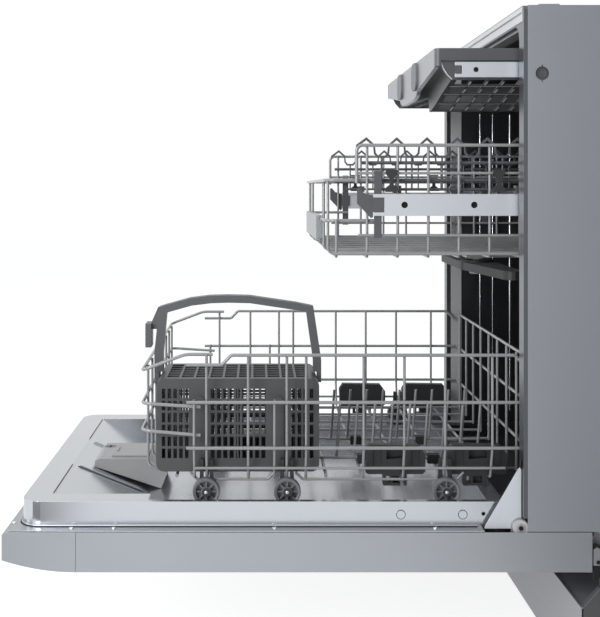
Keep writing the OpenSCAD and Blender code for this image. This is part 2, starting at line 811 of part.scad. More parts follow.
disp_half = 52;
disp_y0 = slope_y + 28;
disp_y1 = disp_y0 + 107;
bowl_half = 33;
bowl_y0 = disp_y0 + 26;
bowl_y1 = disp_y0 + 74;
lid_z = rim_z + 1.1;
cap_x = -30;
cap_y = disp_y0 + 13;

// Moulded wedge that holds the detergent bowl and the rinse aid's tank
module dispenser_body() {
  color("silver") difference() {
    along_x(-disp_half, disp_half, [
      [disp_y0, slope_z(disp_y0) + seat], [disp_y0, rim_z - 3], [disp_y0 + 6, lid_z - 0.6],
      [disp_y0 + 80, lid_z - 0.6], [disp_y0 + 90, rim_z - 6], [disp_y0 + 100, rim_z - 14],
        [disp_y1, rim_z - 21],
      [disp_y1 - 9, slope_z(disp_y1 - 9) + seat]
    ]);
    block([-bowl_half, bowl_y0, lid_z - 24], [bowl_half, bowl_y1, rim_z + 4]);
    block([-bowl_half, bowl_y0 + 16, lid_z - 30], [bowl_half, bowl_y1, rim_z + 4]);
    disc_z(lid_z - 6, rim_z + 4, cap_x, cap_y, 9.5);
  }
}

module dispenser_lid() {
  color("gainsboro") {
    along_z(lid_z - 0.3, lid_z + 1.6, rounded(-bowl_half - 6, bowl_y0 - 3, bowl_half + 6, bowl_y1 + 4, 4));
    block([-12, bowl_y0 + 1, lid_z + 1.5], [12, bowl_y0 + 4, lid_z + 3]);
  }
}

module rinse_cap() {
  color("gray") difference() {
    disc_z(lid_z - 5.7, lid_z - 0.9, cap_x, cap_y, 9.2);
    block([cap_x - 6.5, cap_y - 1.4, lid_z - 2.6], [cap_x + 6.5, cap_y + 1.4, lid_z]);
  }
}

latch_y = 21;

// Hook under the tub's ceiling, behind the seal, that holds the shut door
module latch_hook() {
  color("dimgray") along_x(-12, 12, [
    [latch_y + 13, tub_top_z - seat], [latch_y, tub_top_z - seat], [latch_y - 1, tub_top_z - 6],
    [latch_y - 29, tub_top_z - 7], [latch_y - 31, tub_top_z - 13], [latch_y - 25, tub_top_z - 14],
    [latch_y - 23, tub_top_z - 11], [latch_y - 1, tub_top_z - 11], [latch_y + 13, tub_top_z - 7]
  ]);
}

// Lower rack

lower_rear_y = lower_l - lower_front;
lower_foot_x = side_x - 25.8;
knee_z = lower_floor_z + 40;
mid_z = 353;
low_z = 294;
skirt_z = 266;
skirt_x = side_x - 9.4;
// Low wire under the uprights' feet, which the axle blocks clip on
carrier_x = lower_foot_x + 4;
carrier_z = lower_floor_z - 2 * thin_r + 0.2;
carrier_y = [[-428, -318], [-290, -70]];
full_u = [-36, -97, -150, -202.5, -277, -302, -352, -406];
short_u = [-318, -422];
floor_y = [-36, -97, -150, -202.5, -250, -302, -352, -406, -446];
rib_pitch = carrier_x / 4;
rib_x = [for (i = [0:3]) (i + 0.5) * rib_pitch];
lace_z = lower_floor_z + wire_r + thin_r - 0.4;
end_in = 3.7;
lace_in = 18;

module lower_rack_floor() {
  color("gray") {
    for (y = floor_y) rod([-lower_foot_x, y, lower_floor_z], [lower_foot_x, y, lower_floor_z], wire_r);
    both_sides() for (x = rib_x) rod([x, -lower_front + wire_r + lace_in, lace_z],
      [x, lower_rear_y - wire_r - end_in - thin_r + 0.2, lace_z], thin_r);
  }
}

// One side wall of the lower rack, with the joggle at the front of its top wire
module lower_side() {
  x = side_x;
  in_x = x - wire_r - thin_r + 0.4;
  wire([[x, -lower_front + 92, lower_top_z - 12.5], [x, -lower_front + 106, lower_top_z - 12.5],
    [x, -lower_front + 118, lower_top_z],
    [x, lower_rear_y - 20, lower_top_z], [x, lower_rear_y - 6, lower_top_z - 14]], wire_r, 5);
  rod([x, -lower_front + 60, lower_top_z - 12.5], [x, -lower_front + 92, lower_top_z - 12.5], wire_r);
  for (z = [mid_z, low_z]) rod([x, -lower_front + 60, z], [x, lower_rear_y - 4, z], wire_r);
  rod([skirt_x, -lower_front + 70, skirt_z], [skirt_x, lower_rear_y - 30, skirt_z], thin_r);
  for (w = carrier_y) wire([[carrier_x, w[0], carrier_z + 9], [carrier_x, w[0] + 9, carrier_z],
    [carrier_x, w[1] - 9, carrier_z],
    [carrier_x, w[1], carrier_z + 9]], thin_r, 4);
  for (y = full_u) side_u(in_x, y, lower_top_z);
  for (y = short_u) side_u(in_x, y, mid_z + 3);
}

// An upright of the side wall, with its foot bent in to meet the floor wires
module side_u(x, y, top) {
  wire([[x, y, top], [x, y, knee_z], [lower_foot_x + 8, y, lower_floor_z],
    [lower_foot_x, y, lower_floor_z]], thin_r, 5);
}

module lower_rack_sides() {
  color("gray") both_sides() lower_side();
}

// Front basket wires that run back along the sides, and the rear wall
module lower_rack_ends() {
  front_y = -lower_front + wire_r;
  back_y = -lower_front + 94;
  hoop_x = side_x - 2 * thin_r - 2 * wire_r + 0.2;
  rear_y = lower_rear_y - wire_r;
  color("gray") {
    wire([[hoop_x, back_y, lower_top_z], [hoop_x, back_y - 36, lower_top_z], [hoop_x, front_y, 393],
      [-hoop_x, front_y, 393], [-hoop_x, back_y - 36, lower_top_z], [-hoop_x, back_y, lower_top_z]],
        wire_r, 12);
    for (h = [[345.6, 350.5], [309, 315.5]])
      wire([[hoop_x, back_y - 16, h[0]], [hoop_x, front_y, h[1]], [-hoop_x, front_y, h[1]],
        [-hoop_x, back_y - 16, h[0]]], wire_r, 12);
    both_sides() for (x = rib_x)
      wire([[x, front_y + lace_in, lace_z], [x, front_y + end_in, lace_z], [x, front_y + end_in, 394]],
        thin_r, 12);
    for (z = [lower_top_z - 3, mid_z, low_z]) rod([-side_x + 8, rear_y, z], [side_x - 8, rear_y, z],
      wire_r);
    both_sides() for (x = rib_x) rod([x, rear_y - end_in, lace_z - thin_r - 1],
      [x, rear_y - end_in, lower_top_z - 3], thin_r);
  }
}

axle_y = [-406.4, -301.4, -95.2];
wheel_x0 = lower_foot_x + 12;
wheel_x1 = wheel_x0 + 12;
axle_z = track_z + seat + wheel_r;
axle_r = 3.5;
// Half width of the slot in which an axle block takes its upright's foot
axle_slot = 4;

// Moulded axle blocks on the side uprights' feet, and the tines' pivot blocks
module lower_rack_clips() {
  color("dimgray") both_sides() {
    for (y = axle_y) {
      difference() {
        along_x(lower_foot_x + 4, wheel_x0 - 0.8, [[y - 10, axle_z - 6], [y + 10, axle_z - 6],
          [y + 8, knee_z - 16], [y - 8, knee_z - 16]]);
        block([lower_foot_x, y - axle_slot, lower_floor_z - thin_r - seat], [wheel_x0, y + axle_slot, knee_z]);
        disc_y(y - 11, y + 11, carrier_x, carrier_z, thin_r + seat, wire_fn);
      }
      disc_x(wheel_x0 - 0.81, wheel_x1 + 0.6, y, axle_z, axle_r);
      disc_x(wheel_x1 + 0.6 - 0.01, wheel_x1 + 2.4, y, axle_z, 5.5);
    }
  }
  color("dimgray") both_sides() for (h = holders) holder(h[0], h[1]);
  color("dimgray") for (x = tine_x, y = tine_block_y)
    difference() {
      block([x - 7, y - 8, lower_floor_z + wire_r + seat], [x + 7, y + 8, tine_z + 5]);
      disc_y(y - 9, y + 9, x, tine_z, wire_r + run_fit, wire_fn);
      block([x - wire_r + 0.4, y - 9, tine_z], [x + wire_r - 0.4, y + 9, tine_z + 6]);
    }
}

// Middle of each tine holder along the rack, and that of the box that hangs from it
holders = [[-158.7, -159.6], [-50.8, -54.4]];
holder_x0 = lower_foot_x - 12;
holder_x1 = holder_x0 + 13.9;

// Moulded holder over the floor wires, with a ribbed face and an open box hanging through them
module holder(y, box_y) {
  translate([0, 0, lower_floor_z]) difference() {
    union() {
      along_x(holder_x0, holder_x1, [
        [y - 39, 4], [y - 35, 2.5], [y + 35, 2.5], [y + 39, 6], [y + 39, 28], [y + 30, 40],
          [y - 34, 41], [y - 40, 32]
      ]);
      block([holder_x0, box_y - 15.5, -12.5], [holder_x1, box_y + 15.5, 3]);
    }
    along_x(holder_x0 + 3, holder_x1 + over, [[y - 12, 22], [y + 12, 24], [y + 12, 36], [y - 12, 36]]);
    for (d = [-30, 20]) block([holder_x1 - 3, y + d, 10], [holder_x1 + over, y + d + 12, 34]);
    block([holder_x0 - over, box_y - 11.5, -9], [holder_x1 + over, box_y - 6, 0]);
    block([holder_x0 + 4, box_y - 3, -9], [holder_x1 + over, box_y + 9, 0]);
    for (w = floor_y) block([holder_x0 - over, w - wire_r - seat, -22],
      [holder_x1 + over, w + wire_r + seat, wire_r + seat]);
  }
}

module wheel(y) {
  translate([wheel_x0, y, axle_z]) rotate([0, 90, 0]) {
    difference() {
      union() {
        rotate_extrude($fn = round_fn) polygon([
          [wheel_r - 4, 1], [wheel_r - 1, 0], [wheel_r, 1.5], [wheel_r, 10.5], [wheel_r - 1, 12],
            [wheel_r - 4, 11]
        ]);
        cylinder(r = wheel_r - 3, h = 4, $fn = round_fn);
        cylinder(r = 6.5, h = 12, $fn = round_fn);
        for (a = [0:45:315]) rotate([0, 0, a]) translate([5, -1, 1]) cube([wheel_r - 8, 2, 8]);
      }
      translate([0, 0, -over]) cylinder(r = axle_r + run_fit, h = 14, $fn = round_fn);
    }
  }
}

module wheels_front() {
  color("dimgray") both_sides() wheel(axle_y[0]);
}

module wheels_middle() {
  color("dimgray") both_sides() wheel(axle_y[1]);
}

module wheels_rear() {
  color("dimgray") both_sides() wheel(axle_y[2]);
}

tine_x = [60, lower_foot_x - 61];
tine_y0 = -240;
tine_y1 = -18;
tine_z = lace_z + thin_r + wire_r + 2;
tine_h = 72;
tine_pitch = 24;
tine_block_y = [tine_y0 + 8 + 1.5 * tine_pitch, tine_y0 + 8 + 5.5 * tine_pitch];

// A folding row of tines on its own pivot wire
module tine_row(x) {
  rod([x, tine_y0, tine_z], [x, tine_y1, tine_z], wire_r);
  for (y = [tine_y0 + 8:tine_pitch:tine_y1 - 4])
    rod([x, y, tine_z + wire_r - 0.6], [x, y + 5, tine_z + tine_h], thin_r);
}

module tine_row_inner() {
  color("gray") tine_row(tine_x[0]);
}

module tine_row_outer() {
  color("gray") tine_row(tine_x[1]);
}

basket_x1 = lower_foot_x + 1;
basket_x0 = basket_x1 - basket_w;
basket_y1 = -259;
basket_y0 = basket_y1 - basket_l;
basket_z0 = lace_z + thin_r + seat;
basket_z1 = basket_z0 + basket_h + 6;
basket_t = 2.2;

// Moulded silverware basket with lattice walls, dividers, posts and a slotted lid
module basket_body() {
  mid_x = (basket_x0 + basket_x1) / 2;
  mid_y = (basket_y0 + basket_y1) / 2;
  field_z = basket_z0 + 16;
  field_h = basket_h - 22;
  // Start and length of each lattice field along a long wall, and its number of columns
  fields = [[6, 38, 5], [70, 75, 9], [176, 32, 4]];
  color("darkslategray") {
    difference() {
      along_x(basket_x0, basket_x1, rounded(basket_y0, basket_z0, basket_y1, basket_z1, 10));
      along_x(basket_x0 - over, basket_x1 + over,
        rounded(basket_y0 + basket_t, basket_z0 + basket_t, basket_y1 - basket_t, basket_z1 - basket_t,
          10 - basket_t));
      sheet_y(basket_y0 - over, basket_y1 + over) windows([basket_x0 + 10, field_z], basket_w - 20,
        field_h, 9, 5, 3);
      translate([0, 0,
        basket_z1 - basket_t - over]) linear_extrude(basket_t + 2 * over) windows([basket_x0 + 9,
        basket_y0 + 12], basket_w - 18, basket_l - 24, 6, 10, 3);
    }
    for (x = [basket_x0, mid_x - basket_t / 2, basket_x1 - basket_t]) sheet_x(x,
      x + basket_t) difference() {
      polygon(rounded(basket_y0 + basket_t / 2, basket_z0 + basket_t / 2, basket_y1 - basket_t / 2,
        basket_z1 - basket_t / 2, 9));
      for (f = fields) windows([basket_y0 + f[0], field_z], f[1], field_h, f[2], 6, 3);
    }
    sheet_y(mid_y - basket_t / 2, mid_y + basket_t / 2) difference() {
      translate([basket_x0 + 1, basket_z0 + 1]) square([basket_w - 2, basket_h + 4]);
      windows([basket_x0 + 10, field_z], basket_w - 20, field_h, 9, 5, 3);
    }
    // Round-topped posts on the long walls
    for (x = [basket_x0 - 2.4, basket_x1 - 0.1], f = [57, 160.5]) along_x(x, x + 2.5, concat(
      [[basket_y0 + f + 7, basket_z0 + 6]], arc([basket_y0 + f, basket_z0 + 92], 7, 0, 180, 10),
        [[basket_y0 + f - 7, basket_z0 + 6]]
    ));
  }
}

// Drop of the handle's outer edge below its top, at distances from the basket's front end
arch = [[7, 13.4], [41, 4], [68, 0.7], [92, 0], [122, 0.7], [185, 10]];

// Arched handle with the grip plate at its front
module basket_handle() {
  mid_x = (basket_x0 + basket_x1) / 2;
  band = 10;
  top = basket_z0 + handle_h + 6;
  lid = basket_z1 + seat;
  low = basket_z1 - 14;
  f = basket_y0 - seat;
  r = basket_y1 + seat;
  color("darkslategray") {
    along_x(mid_x - 10, mid_x + 10, concat(
      [[f, lid], [f, low], [f - 7, low], [f - 7, lid + 26], [basket_y0 - 1, top - 16]],
      [for (q = arch) [basket_y0 + q[0], top - q[1]]],
      [[basket_y1 - 5, top - 15], [basket_y1, top - 48], [r + 5.5, lid + 16], [r + 5.5, low], [r, low],
        [r, lid]],
      [[r - 5, lid], [r - 5.5, lid + 16], [basket_y1 - 11, top - 48], [basket_y1 - 14.5, top - 22]],
      [for (i = [len(arch) - 1:-1:0]) [basket_y0 + arch[i][0] * 0.985 + 3, top - arch[i][1] - band]],
      [[basket_y0 + 9, top - 28], [f + 5, lid + 26], [f + 5, lid]]
    ));
    block([mid_x - 16, basket_y0 - 19, top - 70], [mid_x + 16, basket_y0 - 11, top - 38]);
    along_x(mid_x - 8, mid_x + 8, [
      [basket_y0 - 12, top - 46], [basket_y0 - 2, top - 46], [basket_y0 - 1.5, top - 17],
      [basket_y0 - 2.5, top - 16.5], [basket_y0 - 12, top - 38.1]
    ]);
  }
}

// Middle rack

middle_rear_y = middle_l - middle_front;
tier_y = -212;
base_front_y = -middle_front + 2 * wire_r + thin_r - 0.4;
pair_x = [144, 156];
corner_x = side_x - 15.8;
middle_u = [-238, -198.3, -158.6, -119, -79.4, -39.7, 0, 39.7, 79.4, 119, 158.6, 198.3];
shoulder_z = middle_floor_z + 99;
belt_z = middle_floor_z + 46.5;
side_wire_z = [middle_floor_z + 108, middle_floor_z + 27.7];
middle_foot_x = side_x - 23.8;
middle_lace_z = middle_floor_z + 2 * thin_r - 0.4;

module middle_rack_floor() {
  color("gray") {
    for (y = middle_u) rod([-middle_foot_x, y, middle_floor_z], [middle_foot_x, y, middle_floor_z], thin_r);
    both_sides() for (x = rib_x) rod([x, middle_u[0] - 2 * thin_r, middle_lace_z],
      [x, middle_rear_y - 16, middle_lace_z], thin_r);
  }
}

// Side wall of the middle rack, with a low front tier and a high rear tier
module middle_side() {
  x = side_x;
  in_x = x - 2 * thin_r;
  wire([[x, tier_y, shoulder_z - 4], [x, tier_y, middle_top_z], [x, middle_rear_y - 4, middle_top_z]],
    wire_r, 8);
  for (z = side_wire_z) rod([x, tier_y + 2, z], [x, middle_rear_y - 4, z], thin_r);
  rod([x, base_front_y + 6, middle_floor_z + 4], [x, middle_rear_y - 4, middle_floor_z + 4], wire_r);
  for (y = middle_u) middle_upright(in_x, y, y < tier_y ? belt_z + 2 : middle_top_z + 1);
}

module middle_upright(x, y, top) {
  wire([[x, y, top], [x, y, middle_floor_z], [middle_foot_x, y, middle_floor_z]], thin_r, 3.4);
}

module middle_rack_sides() {
  color("gray") both_sides() middle_side();
}

module middle_rack_ends() {
  hoop_x = side_x - 2 * thin_r - 2 * wire_r + 0.2;
  front_y = -middle_front + wire_r;
  rear_y = middle_rear_y - wire_r;
  foot_z = middle_floor_z + 2 * thin_r - 0.2;
  color("gray") {
    wire([[hoop_x, tier_y + 30, shoulder_z], [hoop_x, front_y, shoulder_z],
      [-hoop_x, front_y, shoulder_z], [-hoop_x, tier_y + 30, shoulder_z]], wire_r, 14);
    wire([[hoop_x, tier_y + 30, belt_z], [hoop_x, front_y, belt_z], [-hoop_x, front_y, belt_z],
      [-hoop_x, tier_y + 30, belt_z]], wire_r, 14);
    both_sides() for (x = concat(pair_x, [corner_x]))
      wire([[x, middle_u[0] + 2 * thin_r, foot_z], [x, base_front_y, foot_z],
        [x, base_front_y, shoulder_z + 1]], thin_r, 8);
    for (z = [middle_top_z - 8, side_wire_z[0], belt_z + 2.5]) rod([-side_x + 8, rear_y, z], [side_x - 8, rear_y, z], thin_r);
    both_sides() for (x = rib_x)
      wire([[x, middle_rear_y - 16, middle_lace_z], [x, rear_y - 2 * thin_r + 0.4, middle_lace_z],
        [x, rear_y - 2 * thin_r + 0.4, middle_top_z - 6]], thin_r, 6);
  }
}

grip_half = 150;
grip_wall = 2;
grip_drop = 30;

// Grip that is clipped over the front wire of the middle rack
module middle_rack_handle() {
  front_y = -middle_front + wire_r;
  top = belt_z + wire_r + seat;
  face_y = front_y - wire_r - 2.5;
  foot_z = top - grip_drop;
  color("gainsboro") {
    along_x(-grip_half, grip_half, [
      [face_y - grip_wall, top + grip_wall], [front_y + 1.2, top + grip_wall], [front_y + 1.2, top],
        [face_y, top],
      [face_y, foot_z], [face_y + 4, foot_z - 2], [face_y + 4, foot_z - 2 - grip_wall],
        [face_y - grip_wall, foot_z - grip_wall]
    ]);
    both_sides() difference() {
      block([grip_half - 3, face_y - 0.01, foot_z + 0.5], [grip_half, front_y + 4.5, top + 0.01]);
      disc_x(grip_half - 4, grip_half + 1, front_y, belt_z, wire_r + seat, wire_fn);
    }
  }
}

rail_z0 = middle_floor_z + 53;
rail_z1 = rail_z0 + 28;
runner_x0 = tub_half - 9.4;
runner_x1 = runner_x0 + 4;
runner_y0 = -191;
runner_l = 400;
third_rail_z0 = tub_top_z - 66;
third_rail_z1 = third_rail_z0 + 19.6;
third_runner_y0 = -86.5;
notch_rim = 4.4;
middle_notch = 14;
third_notch = 9;
third_runner_l = 400;

// Channel that the runner between z0 and z1 slides in, fixed to the tub's wall
module rail_channel(z0, z1) {
  y0 = 24;
  y1 = tub_d - tub_t - 20;
  block([tub_half - 1.6, y0, z0 - 4], [tub_half - seat / 2, y1, z1 + 4]);
  block([runner_x0 + 0.4, y0, z1 + seat], [tub_half - 1.59, y1, z1 + 1.6]);
  block([runner_x0 + 0.4, y0, z0 - 1.6], [tub_half - 1.59, y1, z0 - seat]);
}

module fixed_rails() {
  color("silver") both_sides() {
    rail_channel(rail_z0, rail_z1);
    rail_channel(third_rail_z0, third_rail_z1);
  }
}

// Channel-shaped runner; its web is notched at the front for a moulded cap
module runner(y0, length, z0, z1, holes, notch) {
  difference() {
    block([runner_x0, y0, z0], [runner_x1, y0 + length, z1]);
    block([runner_x0 - over, y0 - over, z0 + 4], [runner_x0 + 2.4, y0 + length + over, z1 - 4]);
    block([runner_x0, y0 - over, z0 + notch_rim], [runner_x1 + over, y0 + notch, z1 - notch_rim]);
    for (y = holes) disc_x(runner_x0 - over, runner_x1 + over, y, (z0 + z1) / 2, z1 - z0 > 24 ? 4.2 : 3.3);
  }
}

module middle_runners() {
  color("lightsteelblue") both_sides() runner(runner_y0, runner_l, rail_z0, rail_z1, [-151, -61.5],
    middle_notch);
}

// Moulded brackets that join the middle rack to its runners, and the clips that its shelves turn in
module runner_brackets() {
  y0 = runner_y0;
  color("dimgray") both_sides() {
    along_x(side_x + wire_r + seat, runner_x0 + 0.1,
      [[y0 - 21, rail_z1 + 7], [y0 - 18, rail_z1 + 8], [y0 - 12, rail_z1 + 1], [y0 - seat, rail_z1 - 2],
      [y0 - seat, rail_z0 - 2], [y0 - 3, rail_z0 - 3], [y0 - 21, rail_z1 - 12]]);
    block([side_x + wire_r + seat, y0 - seat - 0.01, rail_z0 + notch_rim + seat],
      [runner_x1 - 0.2, y0 + middle_notch - seat, rail_z1 - notch_rim - seat]);
    for (y = [y0 + 6, y0 + 250]) block([side_x + thin_r + seat, y - 5,
      side_wire_z[1] - 3], [runner_x0 - seat / 2, y + 5, side_wire_z[0] + 3]);
    for (y = shelf_clip_y) difference() {
      block([shelf_pivot_x - 4.5, y - 5, shelf_pivot_z - 5],
        [side_x - 3 * thin_r - seat, y + 5, shelf_pivot_z + 5]);
      disc_y(y - 6, y + 6, shelf_pivot_x, shelf_pivot_z, thin_r + run_fit, wire_fn);
    }
  }
}

lever_y = [-168, -30];

// Spring levers on both sides that free the middle rack's height setting
module height_levers() {
  color("black") both_sides() for (y = lever_y)
    along_x(side_x + thin_r + seat, side_x + thin_r + 5.4, [
      [y - 8, rail_z1 + 2.6], [y + 10, rail_z1 + 2.6], [y + 8, rail_z1 + 8], [y + 3, rail_z1 + 12],
        [y + 3, rail_z1 + 20],
      [y + 8, rail_z1 + 26], [y + 8, rail_z1 + 31], [y - 7, rail_z1 + 31], [y - 7, rail_z1 + 26],
        [y - 2, rail_z1 + 20],
      [y - 2, rail_z1 + 12], [y - 7, rail_z1 + 8]
    ]);
}

shelf_x = side_x - 12.8;
shelf_y0 = -205;
shelf_y1 = 190;
shelf_z0 = middle_floor_z + 99;
shelf_z1 = shelf_z0 + 22.6;
shelf_pivot_z = shelf_z0 - 12;
shelf_pitch = 39.5;
saddle_t = 3;
// The clips stand at uprights, midway between the shelf's stems
shelf_clip_y = [middle_u[2], middle_u[6], middle_u[9]];
stem_r = 1.2;
shelf_pivot_x = shelf_x - wire_r - stem_r + 0.4;
// One peak and saddle of the shelf's crest: its upper and its lower edge
crest_up = [[0, 33.5], [10.8, 23.8], [12.2, 13], [15.5, 9.4], [24, 9.4], [27.3, 13], [28.7, 23.8]];
crest_low = [[0, 29.5], [9, 21.8], [9.8, 12], [14.2, 6.4], [25.3, 6.4], [29.7, 12], [30.5, 21.8]];

// Folding shelf whose crest of peaks and saddles steadies stemmed glasses, on its pivot wire
module cup_shelf() {
  x = shelf_pivot_x;
  n = floor((shelf_y1 - shelf_y0 - 20) / shelf_pitch);
  y0 = shelf_y0 + 7;
  for (z = [shelf_z0, shelf_z1]) rod([shelf_x, shelf_y0, z], [shelf_x, shelf_y1, z], wire_r);
  rod([x, shelf_y0 + 20, shelf_pivot_z], [x, shelf_y1 - 20, shelf_pivot_z], thin_r);
  along_x(x - saddle_t / 2, x + saddle_t / 2, concat(
    [[y0 - 13.5, shelf_z1 + 19.5], [y0 - 13.5, shelf_z1 + 23.5]],
    [for (i = [0:n - 1], q = crest_up) [y0 + i * shelf_pitch + q[0], shelf_z1 + q[1]]],
    [[y0 + n * shelf_pitch, shelf_z1 + 33.5], [y0 + n * shelf_pitch, shelf_z1 + 29.5]],
    [for (i = [n - 1:-1:0], k = [len(crest_low) - 1:-1:0]) [y0 + i * shelf_pitch + crest_low[k][0],
      shelf_z1 + crest_low[k][1]]]
  ));
  for (i = [0:n - 1])
    rod([x, y0 + (i + 0.5) * shelf_pitch, shelf_pivot_z],
      [x, y0 + (i + 0.5) * shelf_pitch, shelf_z1 + 8], stem_r);
}

module cup_shelf_right() {
  color("dimgray") cup_shelf();
}

module cup_shelf_left() {
  color("dimgray") mirror([1, 0, 0]) cup_shelf();
}

feed_z = middle_floor_z - 10;
hub_y = -5;
upper_arm_z = feed_z - 25;
upper_arm_l = 206;
upper_arm_turn = 3;

// Pipe under the middle rack that docks with the riser and carries the upper spray arm
module upper_feed() {
  rear_y = middle_rear_y - 2;
  color("gray") {
    difference() {
      union() {
        block([-17, hub_y - 20, feed_z - 6], [17, rear_y, feed_z + 7]);
        disc_y(rear_y - 0.01, rear_y + 7, 0, feed_z, 11);
      }
      disc_y(hub_y, rear_y + 8, 0, feed_z, 4);
    }
    disc_z(upper_arm_z + 17.5, feed_z - 5.99, 0, hub_y, 17);
    disc_z(upper_arm_z - 3, upper_arm_z + 17.5 + 0.01, 0, hub_y, arm_pin_r);
    disc_z(upper_arm_z - 6, upper_arm_z - 3 + 0.01, 0, hub_y, 12);
    for (y = [middle_u[8], middle_u[11]]) block([-20, y - 4, feed_z + 6.99],
      [20, y + 4, middle_floor_z - thin_r - seat]);
  }
}

module upper_spray_arm() {
  color("gray") translate([0, hub_y, upper_arm_z]) rotate([0, 0, upper_arm_turn]) spray_arm(upper_arm_l,
    12, 18, arm_pin_r + run_fit);
}

// Third rack

third_rear_y = third_l - third_front;
wing_x = runner_x0 - 7.6;
wing_z = third_rail_z0 + 1.5;
grid_t = 2.4;
grid_bar = 4;
slat_pitch = 21.6;
slat_w = 4;
grid_front_y = -third_front + 18;
band_z0 = third_rail_z1 + 2.4;
band_x = wing_x + 1.6;
band_end_x = wing_x + 7;
web_x = wing_x - 0.4;
web_end_x = wing_x + 3;
fascia_half = wing_x - 6;
strip_y = -third_front - 3.5;
// Upper edge of the dished grid across the rack: a deep channel on the right and a shallow tray on the left
dish = [
  [-wing_x, wing_z], [58, wing_z - 8], [72, wing_z - 30.2], [80, wing_z - 30.2],
  [131.5, wing_z - 22.5], [179, wing_z - 13], [222, wing_z - 6.3], [wing_x, wing_z]
];
grid_bars = [-wing_x, -206, -154, -102, -50, 2, 56, 82, 131.5, 179, 222, wing_x];
closed_col = 6;

// Dished grid of lengthwise bars and cross slats with a front and a rear wall, between the two side bands
module third_basket() {
  y0 = grid_front_y;
  y1 = third_rear_y - 4;
  low = [for (i = [len(dish) - 1:-1:0]) dish[i] - [0, grid_t]];
  color("dimgray") {
    intersection() {
      along_y(y0, y1, concat(dish, low));
      translate([0, 0, wing_z - 60]) linear_extrude(80) difference() {
        translate([-wing_x - over, y0 - over]) square([2 * wing_x + 2 * over, y1 - y0 + 2 * over]);
        for (i = [0:len(grid_bars) - 2], y = [y0 + 8:slat_pitch:y1 - slat_pitch]) if (i != closed_col)
          translate([grid_bars[i] + grid_bar / 2,
            y]) square([grid_bars[i + 1] - grid_bars[i] - grid_bar, slat_pitch - slat_w]);
      }
    }
    along_y(y0, y0 + 2.4, concat([[-wing_x - 1, third_top_z - 4]],
      [for (q = dish) q - [0, grid_t + 0.3]], [[wing_x + 1, third_top_z - 4]]));
    along_y(third_rear_y - 4.4, third_rear_y - 1, concat(
      [[-wing_x - 1, third_top_z - 30]], [for (q = dish) q - [0, grid_t + 0.3]],
        [[wing_x + 1, third_top_z - 30]]
    ));
    both_sides() third_side();
  }
}

// Side of the third rack: a web with a curved front corner, the band above it and the caps of the runners
module third_side() {
  y0 = -third_front + 2.4;
  difference() {
    block([web_x, y0, wing_z - 4], [web_end_x, third_rear_y, band_z0 + 0.01]);
    along_x(web_x - over, web_end_x + over, [[y0 - over, band_z0 - 0.01], [y0 + 1.4, band_z0 - 0.01],
      [y0 + 3, wing_z + 11.5], [y0 + 7, wing_z + 4],
      [y0 + 15, wing_z - 4 - over], [y0 - over, wing_z - 4 - over]]);
  }
  along_y(y0, third_rear_y, [
    [web_x, band_z0], [band_end_x, band_z0], [band_end_x, third_top_z - 1], [band_x, third_top_z - 1],
      [band_x, band_z0 + 2], [web_x, band_z0 + 2]
  ]);
  along_z(band_z0 - 7, third_top_z - 1, concat(
    [[fascia_half + seat, y0 + 0.1], [fascia_half + seat, strip_y]],
    arc([band_end_x - 5, strip_y + 5], 5, -90, 0, 5),
    [[band_end_x, y0 + 0.1]]
  ));
  block([web_end_x - 0.01, third_runner_y0 + 0.01, third_rail_z0 + notch_rim + seat],
    [runner_x1 - 0.2, third_runner_y0 + third_notch - seat, third_rail_z1 - notch_rim - seat]);
}

// Lower edge of the front strip, from its middle outwards: drop below the top edge
fascia_low = [[0, 52.5], [45, 52.3], [62, 51.4], [78, 49.5], [88, 47], [96, 42], [104, 40.2],
  [fascia_half, 25]];

// Front strip of the third rack, deeper in its middle
module third_fascia() {
  front = concat([for (q = fascia_low) [q[0], third_top_z - q[1]]],
    [[fascia_half, third_top_z], [-fascia_half, third_top_z]],
    [for (i = [len(fascia_low) - 1:-1:1]) [-fascia_low[i][0], third_top_z - fascia_low[i][1]]]);
  color("gainsboro") {
    difference() {
      along_y(strip_y, -third_front + 2.1, front);
      along_y(strip_y + 2.5, -third_front + 3.8, [for (q = front) [q[0] * (1 - 3 / fascia_half),
        q[1] > third_top_z - 1 ? q[1] - 3 : q[1] + 3]]);
    }
    both_sides() along_z(band_z0 + 4, third_top_z - 3, [
      [fascia_half - 4, -third_front + 2.09], [fascia_half, -third_front + 2.09],
      [fascia_half, -third_front + 2.5 + seat], [band_x - seat, -third_front + 2.5 + seat],
      [band_x - seat, -third_front + 14], [fascia_half - 4, -third_front + 14]
    ]);
  }
}

grip_x = 82;
grip_t = 3.5;

module third_grips() {
  color("dimgray") both_sides()
    along_y(strip_y - grip_t, strip_y - 0.01, rounded(grip_x - 24, third_top_z - 40, grip_x + 24,
      third_top_z - 1, 14));
}

module third_runners() {
  color("lightsteelblue") both_sides() {
    runner(third_runner_y0, third_runner_l, third_rail_z0, third_rail_z1, [-59.4], third_notch);
    for (y = [third_runner_y0 + third_notch + 3, third_runner_y0 + 300])
      block([web_end_x + seat, y, third_rail_z0 + 4.5], [runner_x0 + 2.5, y + 10, third_rail_z1 - 4.5]);
  }
}

